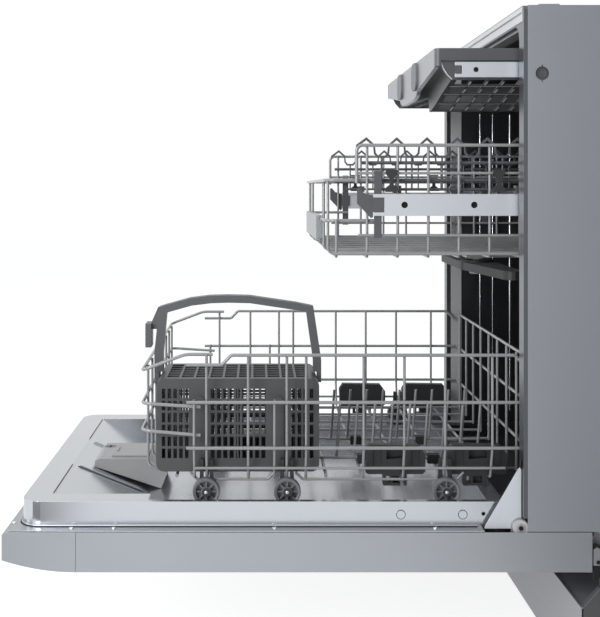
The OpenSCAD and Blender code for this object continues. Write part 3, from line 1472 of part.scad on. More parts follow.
placed() base_tray();
placed() side_panels();
placed() rear_panel();
placed() top_brackets();
placed() tub();
placed() door_gasket();
placed() toe_panel();
placed() levelling_feet();
placed() sump();
placed() coarse_filter();
placed() circulation_pump();
placed() drain_pump();
placed() water_inlet_valve();
placed() heat_exchanger();
placed() counterweight();
placed() feed_pipe();
placed() lower_spray_arm();
placed() latch_hook();
placed() hinge_brackets();
placed() door_springs();
placed() fixed_rails();
placed() door_outer_panel();
placed() control_panel();
placed() door_liner();
placed() control_board();
placed() dispenser_body();
placed() dispenser_lid();
placed() rinse_cap();
placed() hinge_arms();
placed() hinge_covers();
placed() pivot_bushes();
placed() power_button();
placed() program_button();
placed() start_button();
placed() lower_rack_floor();
placed() lower_rack_sides();
placed() lower_rack_ends();
placed() lower_rack_clips();
placed() wheels_front();
placed() wheels_middle();
placed() wheels_rear();
placed() tine_row_inner();
placed() tine_row_outer();
placed() basket_body();
placed() basket_handle();
placed() middle_rack_floor();
placed() middle_rack_sides();
placed() middle_rack_ends();
placed() middle_rack_handle();
placed() middle_runners();
placed() runner_brackets();
placed() cup_shelf_right();
placed() cup_shelf_left();
placed() height_levers();
placed() upper_spray_arm();
placed() upper_feed();
placed() third_basket();
placed() third_fascia();
placed() third_grips();
placed() third_runners();
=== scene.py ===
import json
import math

import bpy
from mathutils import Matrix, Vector


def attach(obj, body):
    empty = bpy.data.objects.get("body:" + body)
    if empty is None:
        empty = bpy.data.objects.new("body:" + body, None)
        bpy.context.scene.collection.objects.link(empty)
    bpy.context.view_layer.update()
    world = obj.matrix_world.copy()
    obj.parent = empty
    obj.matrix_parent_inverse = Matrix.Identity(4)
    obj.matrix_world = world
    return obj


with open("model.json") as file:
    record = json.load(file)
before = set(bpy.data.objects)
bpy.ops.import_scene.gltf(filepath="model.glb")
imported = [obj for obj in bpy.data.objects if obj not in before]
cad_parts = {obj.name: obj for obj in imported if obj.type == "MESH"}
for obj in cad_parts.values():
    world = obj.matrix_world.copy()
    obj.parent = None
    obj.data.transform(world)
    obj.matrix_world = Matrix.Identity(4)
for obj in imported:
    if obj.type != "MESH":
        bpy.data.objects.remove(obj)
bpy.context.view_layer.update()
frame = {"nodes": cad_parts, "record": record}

scene = bpy.context.scene
nodes = frame["nodes"]


# Materials, all made of nodes

def new_material(name):
    m = bpy.data.materials.new(name)
    m.use_nodes = True
    return m, m.node_tree, m.node_tree.nodes["Principled BSDF"]


def srgb(text):
    """Linear colour of a #rrggbb text."""
    parts = [int(text[i:i + 2], 16) / 255 for i in (1, 3, 5)]
    return [c / 12.92 if c <= 0.04045 else ((c + 0.055) / 1.055) ** 2.4 for c in parts] + [1]


def noise(tree, scale, stretch=(1, 1, 1), detail=2.0):
    """Noise over the object's own coordinates, stretched along its axes."""
    coords = tree.nodes.new("ShaderNodeTexCoord")
    mapping = tree.nodes.new("ShaderNodeMapping")
    mapping.inputs["Scale"].default_value = stretch
    tree.links.new(coords.outputs["Object"], mapping.inputs["Vector"])
    n = tree.nodes.new("ShaderNodeTexNoise")
    n.inputs["Scale"].default_value = scale
    n.inputs["Detail"].default_value = detail
    tree.links.new(mapping.outputs["Vector"], n.inputs["Vector"])
    return n


def ramp(tree, source, low, high):
    """Source stretched from low to high."""
    r = tree.nodes.new("ShaderNodeMapRange")
    r.inputs["To Min"].default_value = low
    r.inputs["To Max"].default_value = high
    tree.links.new(source, r.inputs["Value"])
    return r.outputs["Result"]


def tint(tree, bsdf, source, colour, spread):
    """Base colour that runs a little darker and lighter with source."""
    mix = tree.nodes.new("ShaderNodeMix")
    mix.data_type = "RGBA"
    base = srgb(colour)
    mix.inputs[6].default_value = [c * (1 - spread) for c in base[:3]] + [1]
    mix.inputs[7].default_value = [min(1, c * (1 + spread)) for c in base[:3]] + [1]
    tree.links.new(source, mix.inputs[0])
    tree.links.new(mix.outputs[2], bsdf.inputs["Base Color"])


def surface(tree, bsdf, source, strength, distance, edge):
    """Fine relief from source over edges that look rounded by the radius edge."""
    b = tree.nodes.new("ShaderNodeBump")
    b.inputs["Strength"].default_value = strength
    b.inputs["Distance"].default_value = distance
    tree.links.new(source, b.inputs["Height"])
    if edge:
        bevel = tree.nodes.new("ShaderNodeBevel")
        bevel.samples = 4
        bevel.inputs["Radius"].default_value = edge
        tree.links.new(bevel.outputs["Normal"], b.inputs["Normal"])
    tree.links.new(b.outputs["Normal"], bsdf.inputs["Normal"])


def metal(name, colour, rough, metallic=1.0, grain=None, edge=0.0006, spread=0.05):
    """Sheet or rolled metal; grain stretches its brushed lines."""
    m, tree, bsdf = new_material(name)
    bsdf.inputs["Metallic"].default_value = metallic
    lines = noise(tree, scale=900, stretch=grain or (1, 1, 1))
    clouds = noise(tree, scale=7, detail=4.0)
    tint(tree, bsdf, clouds.outputs["Fac"], colour, spread)
    gloss = ramp(tree, lines.outputs["Fac"], low=rough - 0.06, high=rough + 0.08)
    tree.links.new(gloss, bsdf.inputs["Roughness"])
    strength = 0.05 if grain else 0.02
    surface(tree, bsdf, lines.outputs["Fac"], strength, distance=0.0002, edge=edge)
    return m


def plastic(name, colour, rough, relief=0.12, coat=0.0, edge=0.0005, spread=0.05):
    """Moulded plastic with a fine grained face."""
    m, tree, bsdf = new_material(name)
    grains = noise(tree, scale=1400)
    clouds = noise(tree, scale=24, detail=3.0)
    tint(tree, bsdf, clouds.outputs["Fac"], colour, spread)
    gloss = ramp(tree, grains.outputs["Fac"], low=rough - 0.06, high=rough + 0.06)
    tree.links.new(gloss, bsdf.inputs["Roughness"])
    bsdf.inputs["Coat Weight"].default_value = coat
    surface(tree, bsdf, grains.outputs["Fac"], relief, distance=0.0003, edge=edge)
    return m


# One material for each slot of the record
MATERIALS = {
    "base_plastic": plastic("base_plastic_m", "#727478", 0.55),
    "panel_steel": metal("panel_steel_m", "#90949a", 0.42, 0.6, (1, 1, 0.02), spread=0.02),
    "galvanised": metal("galvanised_m", "#a2a5a8", 0.4, 0.85, spread=0.12),
    "tub_steel": metal("tub_steel_m", "#787b7f", 0.34, 1.0, (1, 0.03, 1)),
    "gasket_rubber": plastic("gasket_rubber_m", "#a0a1a3", 0.55),
    "toe_steel": metal("toe_steel_m", "#909398", 0.4, 0.5, (0.02, 1, 1)),
    "rack_plastic": plastic("rack_plastic_m", "#46474a", 0.42),
    "pump_metal": metal("pump_metal_m", "#b6b6b4", 0.35, 0.9),
    "white_plastic": plastic("white_plastic_m", "#dcdcd6", 0.4),
    "weight_iron": metal("weight_iron_m", "#55575a", 0.7, 0.6, spread=0.15),
    "pipe_plastic": plastic("pipe_plastic_m", "#8e9090", 0.4),
    "spray_plastic": plastic("spray_plastic_m", "#3b3d40", 0.4),
    "spring_steel": metal("spring_steel_m", "#8d8d90", 0.3, 1.0),
    "rail_steel": metal("rail_steel_m", "#c0c4ca", 0.34, 0.75, (1, 0.02, 1), spread=0.02),
    "door_steel": metal("door_steel_m", "#999da2", 0.4, 0.7, (1, 0.02, 1), spread=0.02),
    "liner_steel": metal("liner_steel_m", "#b7bbc0", 0.2, 0.95, (0.02, 1, 1), spread=0.03),
    "board": plastic("board_m", "#1f5a3a", 0.5),
    "dispenser_plastic": plastic("dispenser_plastic_m", "#88898a", 0.4),
    "cover_plastic": plastic("cover_plastic_m", "#b5b9bf", 0.45),
    "bush_plastic": plastic("bush_plastic_m", "#a4a5a5", 0.4),
    "button_metal": metal("button_metal_m", "#c6c8cb", 0.25, 0.9),
    "rack_wire": plastic("rack_wire_m", "#7b7d7e", 0.32, 0.05, 0.35, edge=0),
    "grip_plastic": metal("grip_plastic_m", "#909498", 0.32, 0.6),
}

# Materials of single faces, nodes and pieces that differ from their slot's
# Painted shade: a darker copy of the tub's steel for the faces inside the tub, standing for the shade in it
TUB_SHADE = metal("tub_shade_m", "#63666a", 0.3, 1.0, (1, 1, 0.03), spread=0.12)
FLANGE_EDGE = metal("flange_edge_m", "#5d6064", 0.4, 0.7)
# Painted shade: dark steel for the liner's creases, dimple rims and rib strips, standing for the shade in and
# beside them
CREASE_SHADE = metal("crease_shade_m", "#3c3e41", 0.4, 0.6, edge=0)
# Pale shiny steel for the ledge screws, and painted highlight on the tub's beads
PALE_STEEL_AND_HIGHLIGHT = metal("pale_steel_and_highlight_m", "#d4d6d9", 0.2, 1.0)
# Painted shade: a darker copy of the liner's steel for its ledge and bead
SHADED_LEDGE_STEEL = metal("shaded_ledge_steel_m", "#9da1a6", 0.34, 0.8, (0.02, 1, 1), spread=0.04)
TRIM_STEEL = metal("trim_steel_m", "#c3c6c9", 0.3, 0.6)
HUB_STEEL = metal("hub_steel_m", "#a6a8ab", 0.35, 0.8)
# Painted shade: black standing for the shade in holes, slots and gaps, and for the shadow under the liner's
# bead
SHADE_BLACK = plastic("shade_black_m", "#08090a", 0.95, relief=0)
# Painted shade: near-black for the downward faces of the third rack
UNDERSIDE_SHADE = plastic("underside_shade_m", "#1c1d1f", 0.6)
GLINT = plastic("glint_m", "#b4b6b7", 0.4, relief=0)
GRIP_DARK = plastic("grip_dark_m", "#5c5e61", 0.45)
# Dark plastic of the base's cheeks, which the discs in the side panels' holes also take as painted shade
CHEEK = plastic("cheek_m", "#404243", 0.5)
ARM_DARK = plastic("arm_dark_m", "#1c1d1f", 0.55)
BASKET_DARK = plastic("basket_dark_m", "#38393b", 0.45)

slot_of = {row["node"]: row["material_slot"] for row in frame["record"]["subparts"]}
for name, obj in nodes.items():
    obj.data.materials.clear()
    obj.data.materials.append(MATERIALS[slot_of[name]])


# Places in the frame, in metres, that several pieces share

# The cabinet's front edge, and the flange of the tub's mouth before it
FRONT_Y = 0.06
FLANGE_Y = FRONT_Y - 0.0053
# The room inside the tub: half its width, its floor and its ceiling
ROOM_HALF = 0.2765
ROOM_Z0 = 0.203
ROOM_Z1 = 0.8385
# The door's liner: its ledge, its walls with their front corners, and its face with the sloping recess
LEDGE_Z = 0.1980
LINER_HALF = 0.2775
LINER_FRONT_Y = -0.5835
CORNER_R = 0.026
RIM_Z = 0.2295
SLOPE_Y = -0.5478
SLOPE_RISE = 0.4
# The highest middle of a face on the underside of the third rack
UNDERSIDE_Z = 0.776
# The two sides of the middle, for pieces that come mirrored
SIDES = (-1, 1)


def paint(node, material, wanted):
    """Give the faces of a node that wanted picks by their middle and normal another material."""
    mesh = nodes[node].data
    mesh.materials.append(material)
    for face in mesh.polygons:
        if wanted(face.center, face.normal):
            face.material_index = len(mesh.materials) - 1


def inside_tub(c, n):
    return c.y > FRONT_Y and abs(c.x) < ROOM_HALF and ROOM_Z0 < c.z < ROOM_Z1


def flange_edge(c, n):
    return c.y <= FRONT_Y and abs(n.y) < 0.5


def on_ledge(c, n):
    return LEDGE_Z - 0.0025 < c.z < LEDGE_Z + 0.0010 and n.z > 0.5


def under_rack(c, n):
    return n.z < -0.3 and c.z < UNDERSIDE_Z


def any_face(c, n):
    return True


# Painted shade on the faces inside the tub
paint("tub", TUB_SHADE, inside_tub)
paint("tub", FLANGE_EDGE, flange_edge)
# Painted shade on the ledge round the liner
paint("door_liner", SHADED_LEDGE_STEEL, on_ledge)
paint("basket_body", BASKET_DARK, any_face)
# Painted shade on the downward faces of the third rack
paint("third_basket", UNDERSIDE_SHADE, under_rack)
paint("third_grips", GRIP_DARK, any_face)
for name in ("upper_spray_arm", "height_levers", "lower_rack_clips"):
    paint(name, ARM_DARK, any_face)
for name in ("wheels_front", "wheels_middle", "wheels_rear"):
    paint(name, GRIP_DARK, any_face)


# Helpers for pieces

def shade_smooth(obj, angle=30):
    """Smooth faces apart from edges sharper than angle."""
    mesh = obj.data
    mesh.polygons.foreach_set("use_smooth", [True] * len(mesh.polygons))
    mesh.set_sharp_from_angle(angle=math.radians(angle))


for obj in nodes.values():
    shade_smooth(obj)


def circle(count):
    """Angles of count points round a circle."""
    return [2 * math.pi * i / count for i in range(count)]


class Shape:
    """Vertices and faces that are gathered into one piece."""

    def __init__(self):
        self.verts = []
        self.faces = []

    def loft(self, rings):
        """Skin between rings of equally many points, with both ends closed."""
        base = len(self.verts)
        count = len(rings[0])
        for ring in rings:
            self.verts.extend(ring)
        for r in range(len(rings) - 1):
            for i in range(count):
                a = base + r * count + i
                b = base + r * count + (i + 1) % count
                self.faces.append((a, b, b + count, a + count))
        last = base + (len(rings) - 1) * count
        self.faces.append([base + i for i in reversed(range(count))])
        self.faces.append([last + i for i in range(count)])

    def plate(self, x0, x1, outline):
        """Plate from x0 to x1 with an outline of y and z pairs."""
        self.loft([[(x, y, z) for y, z in outline] for x in (x0, x1)])

    def turned(self, centre, axis, profile, steps):
        """Turned form: profile is radius and height pairs along axis, from the centre."""
        axis = Vector(axis)
        side = axis.orthogonal().normalized()
        up = axis.cross(side)
        rings = []
        for radius, height in profile:
            middle = Vector(centre) + axis * height
            rings.append([middle + (side * math.cos(t) + up * math.sin(t)) * radius for t in circle(steps)])
        self.loft(rings)

    def piece(self, name, body, slot, material=None, angle=30):
        """Make the piece, which rides on a body and takes the material of a slot of the record unless another
        is given.
        """
        mesh = bpy.data.meshes.new(name)
        mesh.from_pydata([tuple(v) for v in self.verts], [], self.faces)
        mesh.validate()
        mesh.update()
        obj = bpy.data.objects.new(name, mesh)
        scene.collection.objects.link(obj)
        mesh.materials.append(material or MATERIALS[slot])
        shade_smooth(obj, angle)
        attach(obj, body)


# Upright beads pressed into the tub's side walls, between the rails, in pale steel as painted highlights
# against the tub's painted shade

def tub_beads():
    shape = Shape()
    foot_x = 0.2751
    height = 0.0011
    runout = 0.004
    low = 0.2
    arc = [math.pi * i / 6 for i in range(7)]
    for side in SIDES:
        for y, half in ((0.0534, 0.0010), (0.0755, 0.0008), (0.1064, 0.0017)):
            for z0, z1 in ((0.236, 0.583), (0.632, 0.762)):
                rings = []
                for z, k in ((z0, low), (z0 + runout, 1), (z1 - runout, 1), (z1, low)):
                    rings.append([(side * (foot_x - height * k * math.sin(t)),
                        FRONT_Y + y - half * k * math.cos(t), z) for t in arc])
                shape.loft(rings)
    shape.piece("tub_beads", "cabinet", "tub_steel", PALE_STEEL_AND_HIGHLIGHT, angle=60)


def liner_path(out):
    """Points round the foot of the liner's side and front walls, out from them, with their directions."""
    corner_x = LINER_HALF - CORNER_R
    corner_y = LINER_FRONT_Y + CORNER_R
    steps = 12
    path = [((LINER_HALF + out, 0.0), (1, 0)), ((LINER_HALF + out, corner_y), (1, 0))]
    for side, first in ((1, 0), (-1, 90)):
        for i in range(1, steps):
            t = math.radians(first + 90 * i / steps)
            n = (math.cos(t), -math.sin(t))
            path.append(((side * corner_x + n[0] * (CORNER_R + out), corner_y + n[1] * (CORNER_R + out)), n))
        if side == 1:
            path.append(((corner_x, LINER_FRONT_Y - out), (0, -1)))
            path.append(((-corner_x, LINER_FRONT_Y - out), (0, -1)))
    path.append(((-LINER_HALF - out, corner_y), (-1, 0)))
    path.append(((-LINER_HALF - out, 0.0), (-1, 0)))
    return path


# Rolled bead where the liner's walls meet its ledge, in the ledge's darker steel of painted shade, and a
# black strip under it as painted shadow

def liner_bead():
    for name, r, out, z, material in (
        ("liner_bead", 0.0016, 0.0008, LEDGE_Z + 0.0012, SHADED_LEDGE_STEEL),
        ("bead_shadow", 0.0009, 0.0030, LEDGE_Z, SHADE_BLACK),
    ):
        shape = Shape()
        rings = []
        for (x, y), n in liner_path(out):
            rings.append([(x + n[0] * r * math.cos(t), y + n[1] * r * math.cos(t), z + r * math.sin(t))
                for t in circle(10)])
        shape.loft(rings)
        shape.piece(name, "door", "liner_steel", material, angle=60)


# Narrow creases in the liner's face where its recess begins, outside the two ribs, coloured dark as painted
# shade

def liner_creases():
    shape = Shape()
    half = 0.0011
    foot_z = RIM_Z - 0.0002
    ridge = ((-1, 0), (-0.6, 0.0006), (0.6, 0.0006), (1, 0))
    for side in SIDES:
        rings = []
        for x, k in ((0.080, 0.2), (0.086, 1), (0.232, 1), (0.238, 0.2)):
            rings.append([(side * x, SLOPE_Y + half * k * a, foot_z + b) for a, b in ridge])
        shape.loft(rings)
    shape.piece("liner_creases", "door", "liner_steel", CREASE_SHADE, angle=40)


# Moulded cheeks of the base behind the toe panel, with a cut-off front corner and a bevelled outer edge

def base_cheeks():
    shape = Shape()
    inner = 0.2876
    outer = 0.2972
    edge = 0.0015
    shrink = 0.985
    mid_y = 0.13
    mid_z = 0.07
    outline = [(0.070, 0.018), (0.070, 0.1015), (0.0915, 0.1255), (0.1915, 0.1255), (0.1915, 0.018)]
    for side in SIDES:
        rings = []
        for x, k in ((inner, 1.0), (outer - edge, 1.0), (outer, shrink)):
            rings.append([(side * x, FRONT_Y + mid_y + (y - mid_y) * k, mid_z + (z - mid_z) * k)
                for y, z in outline])
        shape.loft(rings)
    shape.piece("base_cheeks", "cabinet", "base_plastic", CHEEK)


# Small pan-head screws on the ledge round the door's liner

def ledge_screws():
    shape = Shape()
    head = [(0.0028, 0), (0.0028, 0.0006), (0.0022, 0.0014), (0.0009, 0.0016), (0.0007, 0.0011)]
    side_x = 0.2866
    for x, y in ((0.262, -0.5935), (side_x, -0.516), (side_x, -0.462), (side_x, -0.258), (side_x, -0.054)):
        for side in SIDES:
            shape.turned((side * x, y, LEDGE_Z), (0, 0, 1), head, steps=18)
    shape.piece("ledge_screws", "door", "liner_steel", PALE_STEEL_AND_HIGHLIGHT)


# Steel ends of the wheel axles, at the wheels' hubs

def axle_ends():
    shape = Shape()
    end = [(0.0024, 0), (0.0024, 0.0005), (0.0017, 0.0010), (0.0008, 0.0012), (0.0005, 0.0008)]
    hub_x = 0.2623
    hub_z = 0.2368
    for side in SIDES:
        for y in (-0.3464, -0.2414, -0.0352):
            shape.turned((side * hub_x, y, hub_z), (side, 0, 0), end, steps=20)
    shape.piece("axle_ends", "lower_rack", "spring_steel", HUB_STEEL)


# Black discs on the ends of the pins that the door turns on, painted shade of the holes in them

def pin_hole_shades():
    shape = Shape()
    end = [(0.0030, 0), (0.0030, 0.0004), (0.0022, 0.0008), (0.0020, 0.0003)]
    pin_x = 0.2969
    pin_y = 0.052
    pin_z = 0.201
    for side in SIDES:
        shape.turned((side * pin_x, pin_y, pin_z), (side, 0, 0), end, steps=24)
    shape.piece("pin_hole_shades", "cabinet", "base_plastic", SHADE_BLACK)


# Dark disc behind the round hole in each side panel, painted shade of the hole's inside

def hole_shade_discs():
    shape = Shape()
    insert = [(0.0098, 0), (0.0098, 0.0006), (0.0052, 0.0009), (0.0046, 0.0003), (0.0020, 0.0002)]
    hole_x = 0.2955
    hole_y = FRONT_Y + 0.0182
    hole_z = 0.774
    for side in SIDES:
        shape.turned((side * hole_x, hole_y, hole_z), (side, 0, 0), insert, steps=28)
    shape.piece("hole_shade_discs", "cabinet", "galvanised", CHEEK)


# Pale trim with a rolled bead along the top of the cabinet's mouth

def mouth_trim():
    shape = Shape()
    half = 0.293
    back_y = FLANGE_Y - 0.0001
    face_y = FLANGE_Y - 0.0006
    low_z = 0.8402
    high_z = 0.8585
    bead_z = 0.8500
    bead_h = 0.0042
    bead_r = 0.0019
    bead = [(face_y - bead_r * math.sin(math.pi * i / 8), bead_z + bead_h * i / 8) for i in range(9)]
    shape.plate(-half, half, [(back_y, low_z), (face_y, low_z)] + bead + [(face_y, high_z), (back_y, high_z)])
    shape.piece("mouth_trim", "cabinet", "tub_steel", TRIM_STEEL, angle=40)


# Painted shadow: a black strip in the gap between each side panel and the door, with its end turned down
# behind the door

def panel_gap_shadows():
    shape = Shape()
    outline = [(0.0600, 0.1964), (0.1405, 0.1964), (0.1410, 0.1925), (0.1430, 0.1925), (0.1430, 0.1968),
        (0.0600, 0.1975)]
    inner = 0.2900
    outer = 0.2986
    for side in SIDES:
        shape.plate(side * inner, side * outer, outline)
    shape.piece("panel_gap_shadows", "cabinet", "gasket_rubber", SHADE_BLACK)


# Ends of the spring links behind the door, with a black eye in each and black slots over and under it,
# painted shade of the holes and slots

def link_ends():
    links = Shape()
    slots = Shape()
    inner = 0.2940
    link_x = 0.2978
    slot_x = 0.2974
    eye_x = 0.2977
    eye_y = 0.1490
    eye_z = 0.1585
    link = [(0.1430, 0.1545), (0.1430, 0.1740), (0.1475, 0.1775), (0.1620, 0.1700), (0.1620, 0.1545)]
    slot = [(0.1430, 0.1745), (0.1430, 0.1815), (0.1470, 0.1820), (0.1620, 0.1755), (0.1620, 0.1705),
        (0.1475, 0.1780)]
    foot = [(0.1430, 0.1360), (0.1430, 0.1540), (0.1620, 0.1540), (0.1620, 0.1480), (0.1480, 0.1360)]
    eye = [(0.0026, 0), (0.0026, 0.0004), (0.0018, 0.0004)]
    for side in SIDES:
        links.plate(side * inner, side * link_x, link)
        slots.plate(side * inner, side * slot_x, slot)
        slots.turned((side * eye_x, eye_y, eye_z), (side, 0, 0), eye, steps=20)
        slots.plate(side * inner, side * slot_x, foot)
    links.piece("link_ends", "cabinet", "galvanised")
    slots.piece("link_slot_shades", "cabinet", "base_plastic", SHADE_BLACK)


# Black discs in the middle runners' holes, painted shade of the holes

def runner_hole_shades():
    shape = Shape()
    head = [(0.0041, 0), (0.0041, 0.0006), (0.0034, 0.0012), (0.0013, 0.0012), (0.0010, 0.0005)]
    runner_x = 0.2658
    hole_z = 0.608
    for side in SIDES:
        for y in (-0.0910, -0.0015):
            shape.turned((side * runner_x, y, hole_z), (side, 0, 0), head, steps=20)
    shape.piece("runner_hole_shades", "middle_rack", "spring_steel", SHADE_BLACK)


# Rims of the round dimples in the liner's walls, coloured dark as painted shade

def dimple_rims():
    shape = Shape()
    face_x = LINER_HALF + 0.0008
    r = 0.0056
    z = 0.213
    steps = 24
    section = ((0, -0.0004), (0.0003, 0), (0, 0.0004), (-0.0006, 0))
    for side in SIDES:
        for y in (-0.097, -0.018):
            rings = []
            for i in range(steps + 1):
                t = 2 * math.pi * i / steps
                rings.append([(side * (face_x + a), y + (r + b) * math.cos(t), z + (r + b) * math.sin(t))
                    for a, b in section])
            shape.loft(rings)
    shape.piece("dimple_rims", "door", "liner_steel", CREASE_SHADE, angle=60)


# Painted shadow: dark strips along the outer sides of the liner's two ribs, down the slope of the recess,
# where the ribs' shade falls

def rib_shadows():
    shape = Shape()
    strip_x = 0.0806
    half = 0.0011
    height = 0.0012
    section = ((-1, 0), (-0.5, 1), (0.5, 1), (1, 0))
    for side in SIDES:
        rings = []
        for y, k in ((-0.5400, 0.3), (-0.5350, 1), (-0.4530, 1), (-0.4450, 0.3)):
            z = RIM_Z - SLOPE_RISE * (y - SLOPE_Y)
            rings.append([(side * strip_x + a * k * half, y, z + b * k * height) for a, b in section])
        shape.loft(rings)
    shape.piece("rib_shadows", "door", "liner_steel", CREASE_SHADE, angle=40)


# Painted highlight: a pale curved rod where each side of the third rack meets its front strip

def corner_glints():
    shape = Shape()
    edge_x = 0.2612
    half = 0.0006
    rise = 0.0007
    arc = ((-0.1051, 0.8040), (-0.1036, 0.7932), (-0.0997, 0.7837), (-0.0948, 0.7758), (-0.0889, 0.7701))
    for side in SIDES:
        rings = []
        for i, (y, z) in enumerate(arc):
            y0, z0 = arc[max(i - 1, 0)]
            y1, z1 = arc[min(i + 1, len(arc) - 1)]
            along = Vector((0, y1 - y0, z1 - z0)).normalized()
            out = along.cross(Vector((side, 0, 0))) * rise
            rings.append([(side * edge_x + half * math.cos(t), FRONT_Y + y + out.y * math.sin(t),
                z + out.z * math.sin(t)) for t in circle(8)])
        shape.loft(rings)
    shape.piece("corner_glints", "third_rack", "rack_plastic", GLINT, angle=60)


# Painted highlights: pale strips along the edges of the bars and slats under the near side of the third rack

def slat_glints():
    shape = Shape()
    grid_t = 0.0024
    under = grid_t + 0.0002
    thick = 0.0004
    slat_half = 0.0011
    slat_span = (0.18, 0.62)
    slat_pitch = 0.0216
    slat_count = 17
    first_y = FRONT_Y - 0.0614
    bar_y0 = FRONT_Y - 0.086
    bar_y1 = FRONT_Y + 0.36
    bar_in = 0.0016
    dish = ((0.080, 0.7433), (0.1315, 0.7510), (0.179, 0.7605), (0.222, 0.7672), (0.258, 0.7735))
    for (x0, z0), (x1, z1) in zip(dish, dish[1:]):
        for j in range(slat_count):
            y = first_y + slat_pitch * j
            rings = []
            for k in slat_span:
                x = x0 + (x1 - x0) * k
                z = z0 + (z1 - z0) * k - under
                rings.append([(x, y - slat_half, z), (x, y + slat_half, z), (x, y + slat_half, z - thick),
                    (x, y - slat_half, z - thick)])
            shape.loft(rings)
        x = x1 - bar_in
        z = z1 - under
        rings = []
        for y in (bar_y0, bar_y1):
            rings.append([(x - thick, y, z), (x + thick, y, z), (x + thick, y, z - thick),
                (x - thick, y, z - thick)])
        shape.loft(rings)
    shape.piece("slat_glints", "third_rack", "rack_plastic", GLINT)


tub_beads()
liner_bead()
liner_creases()
base_cheeks()
ledge_screws()
axle_ends()
pin_hole_shades()
hole_shade_discs()
mouth_trim()
panel_gap_shadows()
link_ends()
runner_hole_shades()
dimple_rims()
rib_shadows()
corner_glints()
slat_glints()


# Floor, light and camera

FLOOR_HALF = 12.0
# The standing card's place along the width, and the height of the lying cards over the floor
CARD_X = 1.7
CARD_Z = 0.002


def seen_directly(tree):
    """1 for what the camera sees itself, in gloss or through glass, 0 for the light on the object."""
    path = tree.nodes.new("ShaderNodeLightPath")
    either = path.outputs["Is Camera Ray"]
    for other in ("Is Glossy Ray", "Is Transmission Ray"):
        most = tree.nodes.new("ShaderNodeMath")
        most.operation = "MAXIMUM"
        tree.links.new(either, most.inputs[0])
        tree.links.new(path.outputs[other], most.inputs[1])
        either = most.outputs["Value"]
    return either


def stage_sheet(name, corners, material):
    """Flat sheet of the studio, which is no part of the object."""
    mesh = bpy.data.meshes.new(name)
    mesh.from_pydata(corners, [], [(0, 1, 2, 3)])
    obj = bpy.data.objects.new(name, mesh)
    scene.collection.objects.link(obj)
    mesh.materials.append(material)
    return obj


def make_floor():
    """Pale floor that looks white where nothing shades it."""
    m, tree, bsdf = new_material("floor_m")
    bsdf.inputs["Base Color"].default_value = (0.8, 0.8, 0.8, 1)
    bsdf.inputs["Roughness"].default_value = 0.9
    bsdf.inputs["Specular IOR Level"].default_value = 0.0
    glow = tree.nodes.new("ShaderNodeEmission")
    glow.inputs["Strength"].default_value = 1.4
    lit = tree.nodes.new("ShaderNodeMixShader")
    lit.inputs["Fac"].default_value = 0.6
    mix = tree.nodes.new("ShaderNodeMixShader")
    tree.links.new(bsdf.outputs["BSDF"], lit.inputs[1])
    tree.links.new(glow.outputs["Emission"], lit.inputs[2])
    tree.links.new(seen_directly(tree), mix.inputs["Fac"])
    tree.links.new(bsdf.outputs["BSDF"], mix.inputs[1])
    tree.links.new(lit.outputs["Shader"], mix.inputs[2])
    tree.links.new(mix.outputs["Shader"], tree.nodes["Material Output"].inputs["Surface"])
    half = FLOOR_HALF
    stage_sheet("floor", [(-half, -half, 0), (half, -half, 0), (half, half, 0), (-half, half, 0)], m)


def make_flag(name, corners):
    """Dark card of the studio, which only glossy surfaces see."""
    m, _, bsdf = new_material(name + "_m")
    bsdf.inputs["Base Color"].default_value = srgb("#2c2d2f")
    bsdf.inputs["Roughness"].default_value = 0.9
    obj = stage_sheet(name, corners, m)
    obj.visible_camera = False
    obj.visible_diffuse = False
    obj.visible_shadow = False
    obj.visible_transmission = False


def make_flags():
    """Cards that darken the side panel, the door's side and the corner of its liner."""
    side = ((0.5, 0.001), (1.9, 0.001), (1.9, 2.2), (0.5, 2.2))
    make_flag("flag_side", [(CARD_X, y, z) for y, z in side])
    corner = ((0.49, -0.86), (1.05, -1.60), (1.57, -0.72), (0.62, -0.62))
    make_flag("flag_corner", [(x, y, CARD_Z) for x, y in corner])
    floor = ((0.5, 0.1), (1.69, 0.35), (1.69, 1.9), (0.5, 1.9))
    make_flag("flag_floor", [(x, y, CARD_Z) for x, y in floor])


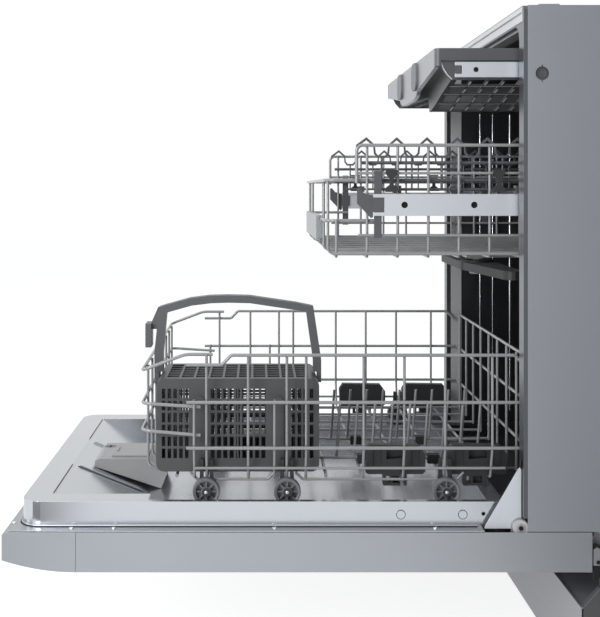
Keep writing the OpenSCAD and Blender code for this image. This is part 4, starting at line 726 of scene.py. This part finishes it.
def area_light(name, place, target, size, power):
    light = bpy.data.lights.new(name, "AREA")
    light.shape = "RECTANGLE"
    light.size, light.size_y = size
    light.energy = power
    obj = bpy.data.objects.new(name, light)
    obj.location = place
    obj.rotation_euler = (Vector(target) - Vector(place)).to_track_quat("-Z", "Y").to_euler()
    scene.collection.objects.link(obj)


def make_light():
    """Plain light on the object before a white background, with three lamps."""
    world = bpy.data.worlds.new("world")
    world.use_nodes = True
    tree = world.node_tree
    background = tree.nodes["Background"]
    background.inputs["Color"].default_value = (0.95, 0.97, 1.0, 1)
    background.inputs["Strength"].default_value = 0.5
    white = tree.nodes.new("ShaderNodeBackground")
    white.inputs["Color"].default_value = (1, 1, 1, 1)
    white.inputs["Strength"].default_value = 1.0
    mix = tree.nodes.new("ShaderNodeMixShader")
    tree.links.new(seen_directly(tree), mix.inputs["Fac"])
    tree.links.new(background.outputs["Background"], mix.inputs[1])
    tree.links.new(white.outputs["Background"], mix.inputs[2])
    tree.links.new(mix.outputs["Shader"], tree.nodes["World Output"].inputs["Surface"])
    scene.world = world
    area_light("key", (2.0, -1.5, 1.1), target=(0.3, -0.2, 0.45), size=(0.9, 1.2), power=46)
    area_light("top", (0.2, -0.8, 2.6), target=(0, -0.3, 0.2), size=(1.6, 1.4), power=20)
    area_light("front", (0.3, -2.6, 1.1), target=(0, 0.1, 0.5), size=(1.2, 1.2), power=16)


# The camera looks straight along the width, at the cabinet's near side panel
VIEW_HEIGHT = 0.629
VIEW_Y = -0.2813
VIEW_DISTANCE = 1.418
NEAR_PLANE_X = 0.299
LENS = 65.8
SHIFT = (0.0705, -0.1943)


def make_camera():
    cam = bpy.data.cameras.new("camera")
    cam.lens = LENS
    cam.sensor_width = 36
    cam.sensor_fit = "AUTO"
    cam.shift_x, cam.shift_y = SHIFT
    cam.clip_start = 0.01
    obj = bpy.data.objects.new("camera", cam)
    obj.location = (NEAR_PLANE_X + VIEW_DISTANCE, VIEW_Y, VIEW_HEIGHT)
    obj.rotation_euler = (math.radians(90), 0, math.radians(90))
    scene.collection.objects.link(obj)
    scene.camera = obj


scene.view_settings.view_transform = "Standard"
make_floor()
make_light()
make_flags()
make_camera()
